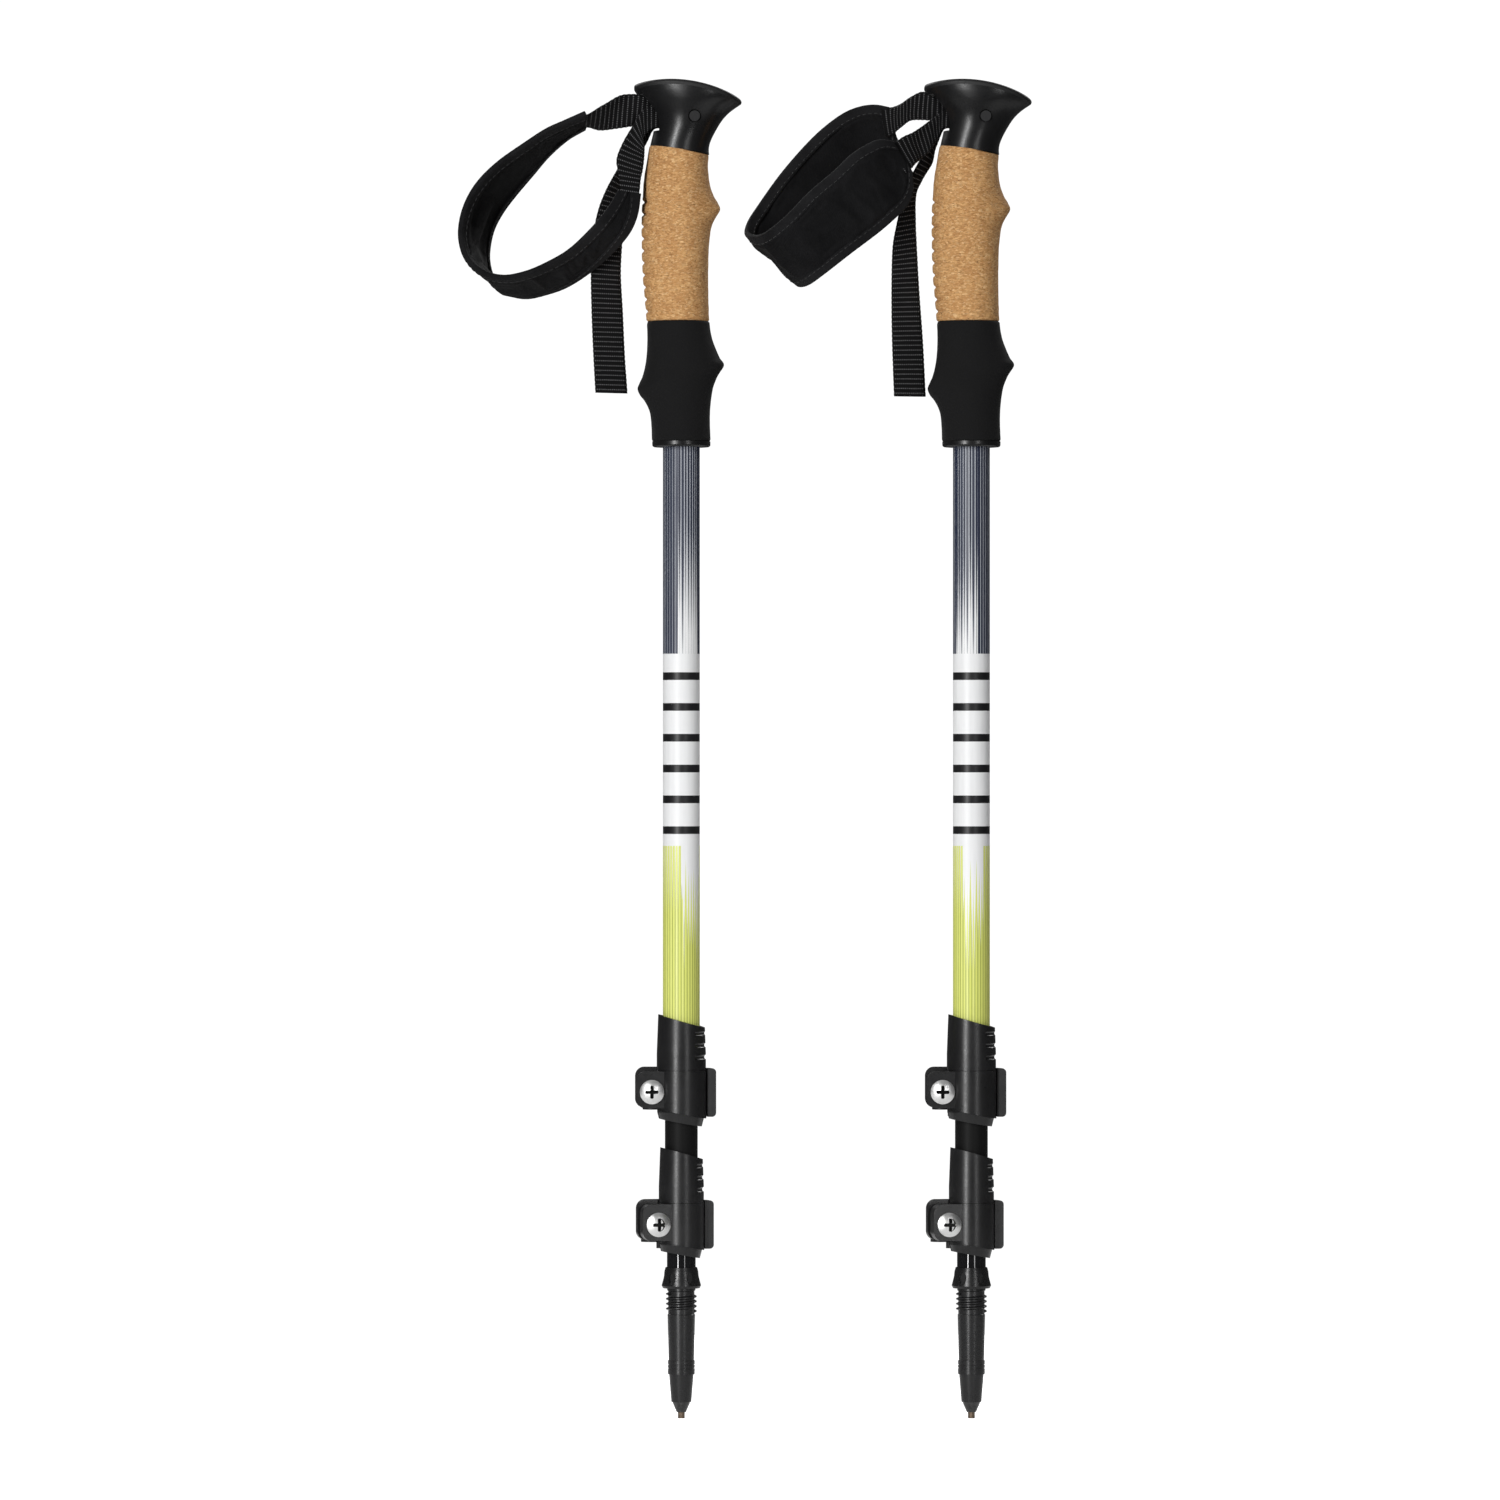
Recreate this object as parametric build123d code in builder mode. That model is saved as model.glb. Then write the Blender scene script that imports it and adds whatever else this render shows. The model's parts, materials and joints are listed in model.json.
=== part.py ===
from build123d import *
import os

# A pair of three-section trekking poles, pushed together to their shortest length.
#
# Millimetres, +Z up. Both poles stand upright on their tips, side by side along X, with the beak
# of each grip pointing to +X, the wrist loops to -X and the clamp screws facing -Y. The origin is
# on the ground under the middle of the pair. Each piece is made once on a pole axis at X = 0 and
# then written out for both poles; only the wrist loops are shaped differently, because they hang
# differently.

# ---- Driving dimensions ----------------------------------------------------------------------

LEFT_AXIS_X = -33.5  # the two pole axes
RIGHT_AXIS_X = 108.0

UPPER_TUBE_R = 9.0  # 18 / 16 / 14 mm aluminium tubes
MIDDLE_TUBE_R = 8.0
LOWER_TUBE_R = 7.0
TUBE_WALL = 0.7
FIT = 0.05  # radial clearance of sliding and glued round fits

UPPER_TUBE_Z = (171.0, 612.0)  # bottom and top end of each tube, pushed together
MIDDLE_TUBE_Z = (107.0, 596.0)
LOWER_TUBE_Z = (64.4, 572.0)

UPPER_SEAM_Z = 169.8  # top edge of each clamp band
LOWER_SEAM_Z = 105.3
LOWER_CLAMP_TURN = 12.0  # degrees, the lower clamp is turned a little on its tube

GRIP_SEAM_Z = 618.3  # head to cork, at the axis
GRIP_SEAM_TILT = 8.4  # degrees, lower at the front
CORK_BOTTOM_Z = 535.0
FOAM_BOTTOM_Z = 476.4
GRIP_BOTTOM_Z = 473.6
STEM_R = 10.6  # plastic stem under the cork and the foam
END_RING_R = 14.2
END_RING_ROUND = 1.2

STRAP_PIN = (6.6, 634.1)  # x, z of the cross pin
WEB_WIDTH = 15.5
WEB_THICK = 1.5
PAD_THICK = 3.6

REACH = 30.0  # a cutter's half width, wider than any piece on one axis

# ---- Helpers: each returns a finished solid or sketch ----------------------------------------


def tilted_plane(z, degrees):
    """A plane through (0, 0, z) that is higher on the -X side."""
    return Plane.XY.offset(z).rotated((0, degrees, 0))


def oval_loft(stations):
    """Loft through upright ovals; a station is z, back x, front x and half depth."""
    with BuildPart() as body:
        for z, back, front, half_depth in stations:
            with BuildSketch(Plane.XY.offset(z)):
                with Locations(((back + front) / 2, 0)):
                    Ellipse((front - back) / 2, half_depth)
        loft()
    return body.part


def rod(radius, z0, z1):
    """Round bar on the pole axis between two heights."""
    with BuildPart() as body:
        with BuildSketch(Plane.XY.offset(z0)):
            Circle(radius)
        extrude(amount=z1 - z0)
    return body.part


def ring(outer_r, inner_r, z0, z1):
    """Plain tube round the pole axis between two heights."""
    with BuildPart() as body:
        with BuildSketch(Plane.XY.offset(z0)):
            Circle(outer_r)
            Circle(inner_r, mode=Mode.SUBTRACT)
        extrude(amount=z1 - z0)
    return body.part


def disc_along_y(radius, x, z, y0, y1):
    """Round bar along Y, from y0 to y1."""
    with BuildPart() as body:
        with BuildSketch(Plane.XZ.offset(-y1)):
            with Locations((x, z)):
                Circle(radius)
        extrude(amount=y1 - y0)
    return body.part


def xz_plate(outline, y0, y1):
    """Flat plate with the outline (x, z), from y0 to y1."""
    with BuildPart() as body:
        with BuildSketch(Plane.XZ.offset(-y1)):
            with BuildLine():
                Polyline(*outline, close=True)
            make_face()
        extrude(amount=y1 - y0)
    return body.part


# ---- Grip ------------------------------------------------------------------------------------

HEAD_STATIONS = [
    (608.0, -16.0, 13.2, 14.3),
    (617.0, -15.4, 13.5, 14.3),
    (624.0, -14.4, 14.8, 14.5),
    (630.0, -13.4, 18.0, 15.2),
    (636.0, -14.6, 22.6, 16.8),
    (641.0, -18.0, 29.4, 18.8),
    (646.0, -22.0, 34.0, 20.2),
    (653.0, -24.0, 36.0, 21.0),
]
CROWN = ((-23.0, 650.1), (2.0, 651.5), (30.6, 642.0))  # x, z of the top face, back to beak
BEAK_ROUND = 2.6
CAP_LINE_DEPTH = 2.6  # the palm cap's seam runs this far below the top face
RIM_ROUND = 1.5  # the palm cap's rolled rim
STEM_RISE = 3.0  # the stem runs this far up into the head
SLOT_Z = (627.6, 645.4)  # the strap slot at the back of the head
SLOT_HALF_WIDTH = 8.6
SLOT_FRONT_X = 11.0
PIN_R = 1.8
PIN_HEAD_R = 2.6
PIN_HEAD_Y = 13.4  # depth of the recess for each pin head
PIN_HEAD_THICK = 2.8
PIN_RECESS_R = 3.1


def head_side(drop=0.0):
    """The head's outline seen from the side, with the crowned top lowered by drop."""
    back, top, beak = [(x, z - drop) for x, z in CROWN]
    foot_z = HEAD_STATIONS[0][0]
    with BuildSketch(Plane.XZ) as side:
        with BuildLine():
            ThreePointArc(back, top, beak)
            Polyline(beak, (beak[0], foot_z), (back[0], foot_z), back)
        make_face()
        fillet(side.vertices().sort_by(lambda corner: corner.X + corner.Y)[-1], BEAK_ROUND)
    return side.sketch


def grip_head():
    """Flared head with the strap slot, and the stem that carries the cork and the foam."""
    x, z = STRAP_PIN
    with BuildPart() as head:
        add(oval_loft(HEAD_STATIONS))
        extrude(head_side(CAP_LINE_DEPTH), amount=REACH, both=True, mode=Mode.INTERSECT)
        split(bisect_by=tilted_plane(GRIP_SEAM_Z, GRIP_SEAM_TILT), keep=Keep.TOP)
        add(rod(STEM_R, GRIP_BOTTOM_Z + FIT, GRIP_SEAM_Z + STEM_RISE))
        add(rod(UPPER_TUBE_R + FIT, GRIP_BOTTOM_Z, UPPER_TUBE_Z[1] + FIT), mode=Mode.SUBTRACT)
        with Locations(((SLOT_FRONT_X - REACH) / 2, 0, sum(SLOT_Z) / 2)):
            Box(SLOT_FRONT_X + REACH, 2 * SLOT_HALF_WIDTH, SLOT_Z[1] - SLOT_Z[0], mode=Mode.SUBTRACT)
        add(disc_along_y(PIN_R + FIT, x, z, -REACH, REACH), mode=Mode.SUBTRACT)
        add(disc_along_y(PIN_RECESS_R, x, z, PIN_HEAD_Y, REACH), mode=Mode.SUBTRACT)
        add(disc_along_y(PIN_RECESS_R, x, z, -REACH, -PIN_HEAD_Y), mode=Mode.SUBTRACT)
    return head.part


def palm_cap():
    """Crowned disc that closes the top of the head."""
    with BuildPart() as cap:
        add(oval_loft(HEAD_STATIONS))
        extrude(head_side(), amount=REACH, both=True, mode=Mode.INTERSECT)
        extrude(head_side(CAP_LINE_DEPTH), amount=REACH, both=True, mode=Mode.SUBTRACT)
        crown = cap.faces().sort_by(Axis.Z)[-1]
        fillet(crown.outer_wire().edges(), RIM_ROUND)
    return cap.part


def cork_grip():
    """Cork sleeve with one finger ridge at the front."""
    ridge = (589.5, -19.6, 19.2, 15.2)
    below_ridge = [
        (CORK_BOTTOM_Z, -16.8, 13.8, 14.5),
        (545.0, -17.6, 13.4, 14.7),
        (558.0, -18.7, 13.3, 14.9),
        (572.0, -19.1, 13.6, 15.0),
        (581.0, -19.5, 15.2, 15.1),
        ridge,
    ]
    above_ridge = [
        ridge,
        (598.0, -19.1, 15.2, 15.0),
        (605.0, -18.5, 13.5, 14.8),
        (613.0, -17.2, 13.2, 14.5),
        (623.0, -15.4, 13.4, 14.3),
    ]
    with BuildPart() as cork:
        add(oval_loft(below_ridge))
        add(oval_loft(above_ridge))
        split(bisect_by=tilted_plane(GRIP_SEAM_Z - FIT, GRIP_SEAM_TILT), keep=Keep.BOTTOM)
        add(rod(STEM_R + FIT, CORK_BOTTOM_Z, above_ridge[-1][0]), mode=Mode.SUBTRACT)
    return cork.part


def foam_grip():
    """Foam sleeve below the cork, with a flared stop for the lower hand."""
    front_ridge = (513.7, -16.9, 20.9, 15.8)
    back_ridge = (502.0, -21.3, 16.2, 16.2)
    lower = [
        (FOAM_BOTTOM_Z, -14.4, 14.4, 14.4),
        (487.0, -14.7, 14.4, 14.5),
        (495.0, -17.0, 14.8, 15.0),
        back_ridge,
    ]
    upper = [
        front_ridge,
        (519.0, -16.4, 17.8, 15.3),
        (526.0, -16.4, 15.2, 14.8),
        (CORK_BOTTOM_Z - FIT, -16.7, 13.9, 14.5),
    ]
    with BuildPart() as foam:
        add(oval_loft(lower))
        add(oval_loft([back_ridge, front_ridge]))
        add(oval_loft(upper))
        add(rod(STEM_R + FIT, FOAM_BOTTOM_Z, CORK_BOTTOM_Z), mode=Mode.SUBTRACT)
    return foam.part


def grip_end_ring():
    """Ring that ends the grip around the tube."""
    with BuildPart() as end:
        add(ring(END_RING_R, STEM_R + FIT, GRIP_BOTTOM_Z, FOAM_BOTTOM_Z - FIT))
        fillet(end.edges().group_by(Axis.Z)[0].sort_by(SortBy.RADIUS)[-1], END_RING_ROUND)
    return end.part


# ---- Strap parts in the head -----------------------------------------------------------------

FOLD_MOUTH_X = -9.6
WEDGE_X = (-9.0, 3.6)
WEDGE_HALF = (1.7, 1.1)  # half thickness at each end
WEDGE_HALF_WIDTH = 7.6
PIN_HALF_LENGTH = 14.4


def strap_pin():
    """Cross pin that the webbing turns round, with a flat head at each side."""
    x, z = STRAP_PIN
    seat_y = PIN_HEAD_Y + 2 * FIT
    top_y = seat_y + PIN_HEAD_THICK
    with BuildPart() as pin:
        add(disc_along_y(PIN_R, x, z, -PIN_HALF_LENGTH, PIN_HALF_LENGTH))
        add(disc_along_y(PIN_HEAD_R, x, z, seat_y, top_y))
        add(disc_along_y(PIN_HEAD_R, x, z, -top_y, -seat_y))
    return pin.part


def strap_fold():
    """The webbing inside the head: in over the pin, round it, and out below it."""
    x, z = STRAP_PIN
    inner_r = PIN_R + 2 * FIT
    middle_x = (x + FOLD_MOUTH_X) / 2
    with BuildPart() as fold:
        with BuildSketch(Plane.XZ):
            for radius, mode in ((inner_r + WEB_THICK, Mode.ADD), (inner_r, Mode.SUBTRACT)):
                with Locations(STRAP_PIN):
                    Circle(radius, mode=mode)
                with Locations((middle_x, z)):
                    Rectangle(x - FOLD_MOUTH_X, 2 * radius, mode=mode)
        extrude(amount=WEB_WIDTH / 2, both=True)
    return fold.part


def strap_wedge():
    """Wedge between the two layers of webbing, which jams the strap at its length."""
    z = STRAP_PIN[1]
    (mouth_x, deep_x), (thick, thin) = WEDGE_X, WEDGE_HALF
    outline = [(mouth_x, z - thick), (deep_x, z - thin), (deep_x, z + thin), (mouth_x, z + thick)]
    return xz_plate(outline, -WEDGE_HALF_WIDTH, WEDGE_HALF_WIDTH)


# ---- Clamps: slim is how much thinner the outer tube is than the upper tube -------------------
# Heights are measured from the seam, the top edge of the band.

BAND_R = 12.2
BAND_WALL = 1.95
BAND_BOTTOM = 21.1  # below the seam, at the axis
BAND_TILT = 11.5  # degrees, the band's lower edge rises to the ears
BAND_GAP = 0.15  # line between the band and the sleeve above it

SLEEVE_INSET = 0.2  # the sleeve is this much thinner than the band
SLEEVE_TOP = (24.0, 15.8)  # height at the axis, and tilt in degrees
SLEEVE_BOTTOM = (-25.6, 10.5)
SLEEVE_ENDS = 32.0  # the turned blank reaches this far each way before its ends are cut
TUBE_STOP = 1.2  # height of the step that the outer tube rests on
SLIT_WIDTH = 1.6
SLIT_BOX = (16.0, 32.0)  # its length along X and its height
GRIP_GROOVES = (6.4, 12.2, 18.0)  # heights of the finger grooves
GROOVE_R = 1.3
GROOVE_ARC = 110.0  # degrees, centred on the +X side

SCREW_X = -14.2
SCREW_R = 2.0
SCREW_HEAD_R = 5.9
SCREW_DOME = 2.9
SCREW_RIM = 0.9  # straight edge under the dome
SCREW_DROP = 10.4  # screw axis below the seam
CROSS = (6.4, 1.7, 2.3)  # length, width and depth of the cross recess

EAR_X = -21.8
EAR_INNER_X = -6.0
EAR_Y = (-9.0, 5.2)  # outer faces of the front and the rear ear
EAR_Z = (-18.3, -0.5)
REAR_EAR_GROWTH = (0.8, 2.0)  # the rear ear stands out this much more at its side and top
EAR_ROUND = 4.4
EAR_GAP = 1.8
SCREW_SEAT = 0.05

BARREL_R = 3.0
BARREL_LENGTH = 18.4
PIVOT_Y = 10.5
CAM_R = 4.8
CAM_OFFSET = 0.4  # the cam's radius is largest where the lever is closed
LEVER_R = (12.65, 15.3)
LEVER_HEIGHT = 23.6
LEVER_DROP = 0.6  # the lever's middle below the screw axis
LEVER_ARC = (2, 138)  # degrees, start and size of the arm, from the tab to the cam
TAB_X = 17.0
TAB_THICK = 2.4
TAB_Y = 0.2
TAB_ROUND = 2.0
FORK_GAP = (14.4, 14.0, 5.6)  # the space between the cam's two cheeks
FORK_X = 4.0


def clamp_sleeve(seam_z, slim):
    """Moulded sleeve glued to the outer tube; its slit lower end closes on the inner tube."""
    outer_bore = UPPER_TUBE_R - slim + FIT
    inner_bore = MIDDLE_TUBE_R - slim + FIT
    outer_r = BAND_R - SLEEVE_INSET - slim
    with BuildPart() as sleeve:
        with BuildSketch(Plane.XZ):
            with BuildLine():
                Polyline(
                    (inner_bore, seam_z - SLEEVE_ENDS),
                    (outer_r - 3.2, seam_z - SLEEVE_ENDS),
                    (outer_r - 0.2, seam_z - 20.5),
                    (outer_r, seam_z),
                    (outer_r, seam_z + 8),
                    (outer_r - 0.9, seam_z + SLEEVE_ENDS),
                    (outer_bore, seam_z + SLEEVE_ENDS),
                    (outer_bore, seam_z + TUBE_STOP),
                    (inner_bore, seam_z + TUBE_STOP),
                    close=True,
                )
            make_face()
        revolve(axis=Axis.Z)
        split(bisect_by=tilted_plane(seam_z + SLEEVE_TOP[0], SLEEVE_TOP[1]), keep=Keep.BOTTOM)
        split(bisect_by=tilted_plane(seam_z + SLEEVE_BOTTOM[0], SLEEVE_BOTTOM[1]), keep=Keep.TOP)
        add(band_seat(seam_z, slim), mode=Mode.SUBTRACT)
        with Locations((EAR_INNER_X - 4, 0, seam_z - SLIT_BOX[1] / 2)):
            Box(SLIT_BOX[0], SLIT_WIDTH, SLIT_BOX[1], mode=Mode.SUBTRACT)
        for height in GRIP_GROOVES:
            with BuildSketch(Plane.XZ.rotated((0, 0, -GROOVE_ARC / 2))):
                with Locations((outer_r + 0.5, seam_z + height)):
                    Circle(GROOVE_R)
            revolve(axis=Axis.Z, revolution_arc=GROOVE_ARC, mode=Mode.SUBTRACT)
    return sleeve.part


def band_seat(seam_z, slim):
    """The space that the band takes out of the sleeve."""
    with BuildPart() as seat:
        add(ring(REACH, BAND_R - BAND_WALL - FIT - slim, seam_z - SLEEVE_ENDS, seam_z))
        split(bisect_by=tilted_plane(seam_z - BAND_BOTTOM - 2 * FIT, BAND_TILT), keep=Keep.TOP)
    return seat.part


def ear_block(x0, y0, y1, z0, z1):
    """One ear as a plate, rounded at its free corners."""
    with BuildPart() as ear:
        with Locations(((x0 + EAR_INNER_X) / 2, (y0 + y1) / 2, (z0 + z1) / 2)):
            Box(EAR_INNER_X - x0, y1 - y0, z1 - z0)
        fillet(ear.edges().filter_by(Axis.Y).group_by(Axis.X)[0], EAR_ROUND)
    return ear.part


def clamp_ears(seam_z, slim):
    """The two ears at the side of the band, before they are cut to the round of the sleeve."""
    x, (front_y, back_y), (z0, z1) = EAR_X + slim, EAR_Y, EAR_Z
    side_growth, top_growth = REAR_EAR_GROWTH
    with BuildPart() as ears:
        add(ear_block(x, front_y, -EAR_GAP / 2, seam_z + z0, seam_z + z1))
        add(ear_block(x - side_growth, EAR_GAP / 2, back_y, seam_z + z0, seam_z + z1 + top_growth))
        add(rod(BAND_R - 1.5 - slim, seam_z - REACH, seam_z + REACH), mode=Mode.SUBTRACT)
        add(rod(BAND_R + FIT - slim, seam_z - BAND_GAP, seam_z + REACH), mode=Mode.SUBTRACT)
    return ears.part


def clamp_band(seam_z, slim):
    """Open band round the sleeve, with two ears that the screw pulls together."""
    screw_z = seam_z - SCREW_DROP
    band_r = BAND_R - slim
    with BuildPart() as band:
        add(ring(band_r, band_r - BAND_WALL, seam_z - REACH, seam_z - BAND_GAP))
        split(bisect_by=tilted_plane(seam_z - BAND_BOTTOM, BAND_TILT), keep=Keep.TOP)
        add(clamp_ears(seam_z, slim))
        with Locations((EAR_INNER_X - REACH / 2, 0, screw_z)):
            Box(REACH, EAR_GAP, 2 * REACH, mode=Mode.SUBTRACT)
        bolt_hole = disc_along_y(SCREW_R + 2 * FIT, SCREW_X + slim, screw_z, -REACH, REACH)
        add(bolt_hole, mode=Mode.SUBTRACT)
    return band.part


def clamp_screw(seam_z, slim):
    """Tension screw with a domed head and a cross recess."""
    x = SCREW_X + slim
    z = seam_z - SCREW_DROP
    seat_y = EAR_Y[0] - SCREW_SEAT
    top_y = seat_y - SCREW_DOME
    length, width, depth = CROSS
    with BuildPart() as screw:
        with BuildSketch(Plane.YZ.offset(x)):
            with BuildLine():
                dome = ThreePointArc(
                    (seat_y - SCREW_RIM, z + SCREW_HEAD_R), (top_y + 0.7, z + 3.4), (top_y, z)
                )
                Polyline(dome @ 1, (seat_y, z), (seat_y, z + SCREW_HEAD_R), dome @ 0)
            make_face()
        revolve(axis=Axis((x, 0, z), (0, 1, 0)))
        add(disc_along_y(SCREW_R, x, z, seat_y - 2 * FIT, PIVOT_Y + 2.4))
        with BuildSketch(Plane.XZ.offset(-top_y - depth)):
            with Locations((x, z)):
                RectangleRounded(length, width, width * 0.4)
                RectangleRounded(width, length, width * 0.4)
        extrude(amount=depth + 1, mode=Mode.SUBTRACT)
    return screw.part


def clamp_barrel(seam_z, slim):
    """Cross dowel that the screw threads into; the lever turns round it."""
    x = SCREW_X + slim
    z = seam_z - SCREW_DROP
    with BuildPart() as barrel:
        with Locations((x, PIVOT_Y, z)):
            Cylinder(BARREL_R - FIT, BARREL_LENGTH)
        screw_hole = disc_along_y(SCREW_R + FIT, x, z, PIVOT_Y - 2 * BARREL_R, PIVOT_Y + 2 * BARREL_R)
        add(screw_hole, mode=Mode.SUBTRACT)
    return barrel.part


def clamp_lever(seam_z, slim):
    """Cam lever that wraps round the back of the band, with a finger tab at its end."""
    x = SCREW_X + slim
    screw_z = seam_z - SCREW_DROP
    inner_r = LEVER_R[0] - slim
    outer_r = LEVER_R[1] - slim
    tab_x = TAB_X - slim
    with BuildPart() as lever:
        with BuildSketch(Plane.XY.offset(screw_z - LEVER_DROP)):
            with BuildLine():
                inside = CenterArc((0, 0), inner_r, *LEVER_ARC)
                outside = CenterArc((0, 0), outer_r, *LEVER_ARC)
                Line(inside @ 0, outside @ 0)
                Line(inside @ 1, outside @ 1)
            make_face()
            with Locations(((inner_r + tab_x) / 2, TAB_Y)):
                Rectangle(tab_x - inner_r, TAB_THICK)
        extrude(amount=LEVER_HEIGHT / 2, both=True)
        fillet(lever.edges().filter_by(Axis.Y).group_by(Axis.X)[-1], TAB_ROUND)
        with Locations((x, PIVOT_Y - CAM_OFFSET, screw_z)):
            Cylinder(CAM_R, BARREL_LENGTH)
        with Locations((x, PIVOT_Y, screw_z)):
            Cylinder(BARREL_R, REACH, mode=Mode.SUBTRACT)
        with Locations((x - FORK_X, PIVOT_Y, screw_z)):
            Box(*FORK_GAP, mode=Mode.SUBTRACT)
    return lever.part


# ---- Tubes and guides ------------------------------------------------------------------------


def tube(outer_r, ends):
    """Plain drawn tube."""
    return ring(outer_r, outer_r - TUBE_WALL, *ends)


GUIDE_BORE_R = 3.0
GUIDE_PLUG = 14.0
GUIDE_COLLAR = 9.0
GUIDE_GROOVES = (2.5, 5.5)  # their heights on the collar
GUIDE_GROOVE = (1.0, 0.8)  # width and depth


def tube_guide(tube_r, bore_r, top_z):
    """Plug in the top end of an inner tube; its grooved collar runs in the tube outside it."""
    width, depth = GUIDE_GROOVE
    with BuildPart() as guide:
        add(ring(tube_r - TUBE_WALL - FIT, GUIDE_BORE_R, top_z - GUIDE_PLUG, top_z + 1))
        add(ring(bore_r - FIT, GUIDE_BORE_R, top_z, top_z + GUIDE_COLLAR))
        for height in GUIDE_GROOVES:
            z = top_z + height
            add(ring(bore_r + 1, bore_r - depth, z, z + width), mode=Mode.SUBTRACT)
    return guide.part


# ---- Tip -------------------------------------------------------------------------------------

THREAD_R = 7.5  # crest of the basket thread
THREAD_ROOT_R = 6.4
THREAD_PITCH = 2.4
THREAD_Z = (50.8, 62.0)
RIDGE_HALF_WIDTH = (1.05, 0.25)  # of the thread's ridge, at its sunk base and at its crest
RIDGE_SUNK = 0.4  # the ridge's base lies this far inside the root
RIDGE_START_Z = 52.2
RIDGE_TURNS = 3.6
STOP_Z = 63.5  # flat face under the flange, where a basket's hub comes to rest
STOP_R = 9.0
FOOT_RING_R = 6.6  # a rubber foot snaps over this ring
FOOT_RING_Z = (21.6, 28.2)
FOOT_GROOVES = (24.2, 25.9)
FOOT_GROOVE = (0.45, 0.35)  # width and depth
DIMPLE = (1.9, 3.0, 8.0)  # half width, half height, and how far its floor is from the axis
DIMPLE_Z = 68.2
DIMPLE_COUNT = 6
HOLDER_TOP_Z = 8.0
SPIGOT_TOP_Z = 92.0  # the tip's own plug inside the lower tube
POINT_TOP_Z = 2.95
POINT_R = 1.75
POINT_SHANK = (1.4, 5.0)  # radius and top
FLUTE_R = 0.5


def thread_ridge():
    """Helical ridge of the basket thread, with its base sunk in the root."""
    (base, crest), base_r = RIDGE_HALF_WIDTH, THREAD_ROOT_R - RIDGE_SUNK
    rise = THREAD_R - base_r
    with BuildPart() as ridge:
        with BuildLine():
            helix = Helix(THREAD_PITCH, THREAD_PITCH * RIDGE_TURNS, base_r, center=(0, 0, RIDGE_START_Z))
        with BuildSketch(Plane(origin=helix @ 0, x_dir=(1, 0, 0), z_dir=helix % 0)):
            with BuildLine():
                Polyline((0, base), (rise, crest), (rise, -crest), (0, -base), close=True)
            make_face()
        sweep(is_frenet=True)
    return ridge.part


def tip_body():
    """Moulded tip: basket flange, basket thread, taper, and the ring for a rubber foot."""
    groove_width, groove_depth = FOOT_GROOVE
    half_width, half_height, floor = DIMPLE
    with BuildPart() as tip:
        with BuildSketch(Plane.XZ):
            with BuildLine():
                Polyline(
                    (0, HOLDER_TOP_Z),
                    (4.9, HOLDER_TOP_Z),
                    (6.0, FOOT_RING_Z[0]),
                    (FOOT_RING_R, FOOT_RING_Z[0]),
                    (FOOT_RING_R, FOOT_RING_Z[1]),
                    (6.2, FOOT_RING_Z[1]),
                    (6.7, THREAD_Z[0] - 0.2),
                    (THREAD_ROOT_R, THREAD_Z[0]),
                    (THREAD_ROOT_R, THREAD_Z[1]),
                    (6.9, THREAD_Z[1] + 0.4),
                    (6.9, STOP_Z),
                    (STOP_R, STOP_Z),
                    (9.6, 64.7),
                    (9.2, 66.8),
                    (8.6, 69.4),
                    (8.2, 71.9),
                    (7.7, 73.6),
                    (0, 73.6),
                    close=True,
                )
            make_face()
        revolve(axis=Axis.Z)
        for z in FOOT_GROOVES:
            groove = ring(FOOT_RING_R + 1, FOOT_RING_R - groove_depth, z, z + groove_width)
            add(groove, mode=Mode.SUBTRACT)
        for turn in range(DIMPLE_COUNT):
            angle = 360 / DIMPLE_COUNT * (turn + 0.5)
            with BuildSketch(Plane.XZ.rotated((0, 0, angle)).offset(floor)):
                with Locations((0, DIMPLE_Z)):
                    Ellipse(half_width, half_height)
            extrude(amount=3, mode=Mode.SUBTRACT)
        add(rod(LOWER_TUBE_R + FIT, LOWER_TUBE_Z[0], SPIGOT_TOP_Z), mode=Mode.SUBTRACT)
        add(rod(LOWER_TUBE_R - TUBE_WALL - FIT, THREAD_Z[1], SPIGOT_TOP_Z))
        add(thread_ridge())
    return tip.part


def tip_holder():
    """Steel cup pressed into the end of the tip, which carries the hard point."""
    shank_r, shank_top = POINT_SHANK
    socket_z = POINT_TOP_Z - FIT
    with BuildPart() as holder:
        with BuildSketch(Plane.XZ):
            with BuildLine():
                Polyline((0, 3.0), (2.3, 3.0), (4.0, 6.9), (4.35, 7.95), (0, 7.95), close=True)
            make_face()
        revolve(axis=Axis.Z)
        add(rod(shank_r + FIT, socket_z, shank_top + 2 * FIT), mode=Mode.SUBTRACT)
    return holder.part


def tip_point():
    """Carbide point with a hollow end and four flutes."""
    shank_r, shank_top = POINT_SHANK
    with BuildPart() as point:
        with BuildSketch(Plane.XY):
            Circle(POINT_R)
            with PolarLocations(POINT_R + 0.2, 4):
                Circle(FLUTE_R, mode=Mode.SUBTRACT)
        extrude(amount=POINT_TOP_Z)
        add(rod(shank_r, POINT_TOP_Z - 0.5, shank_top))
        with Locations((0, 0, -0.5)):
            Sphere(1.2, mode=Mode.SUBTRACT)
    return point.part


# ---- Wrist loops: each band is a list of stations, from one end to the other -------------------
# A station is the two edges of the band, (x, y, z) from the pole axis. The loop's two legs and the
# loose tail leave the slot side by side, and the loop swings sideways at the slot's mouth.

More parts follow.
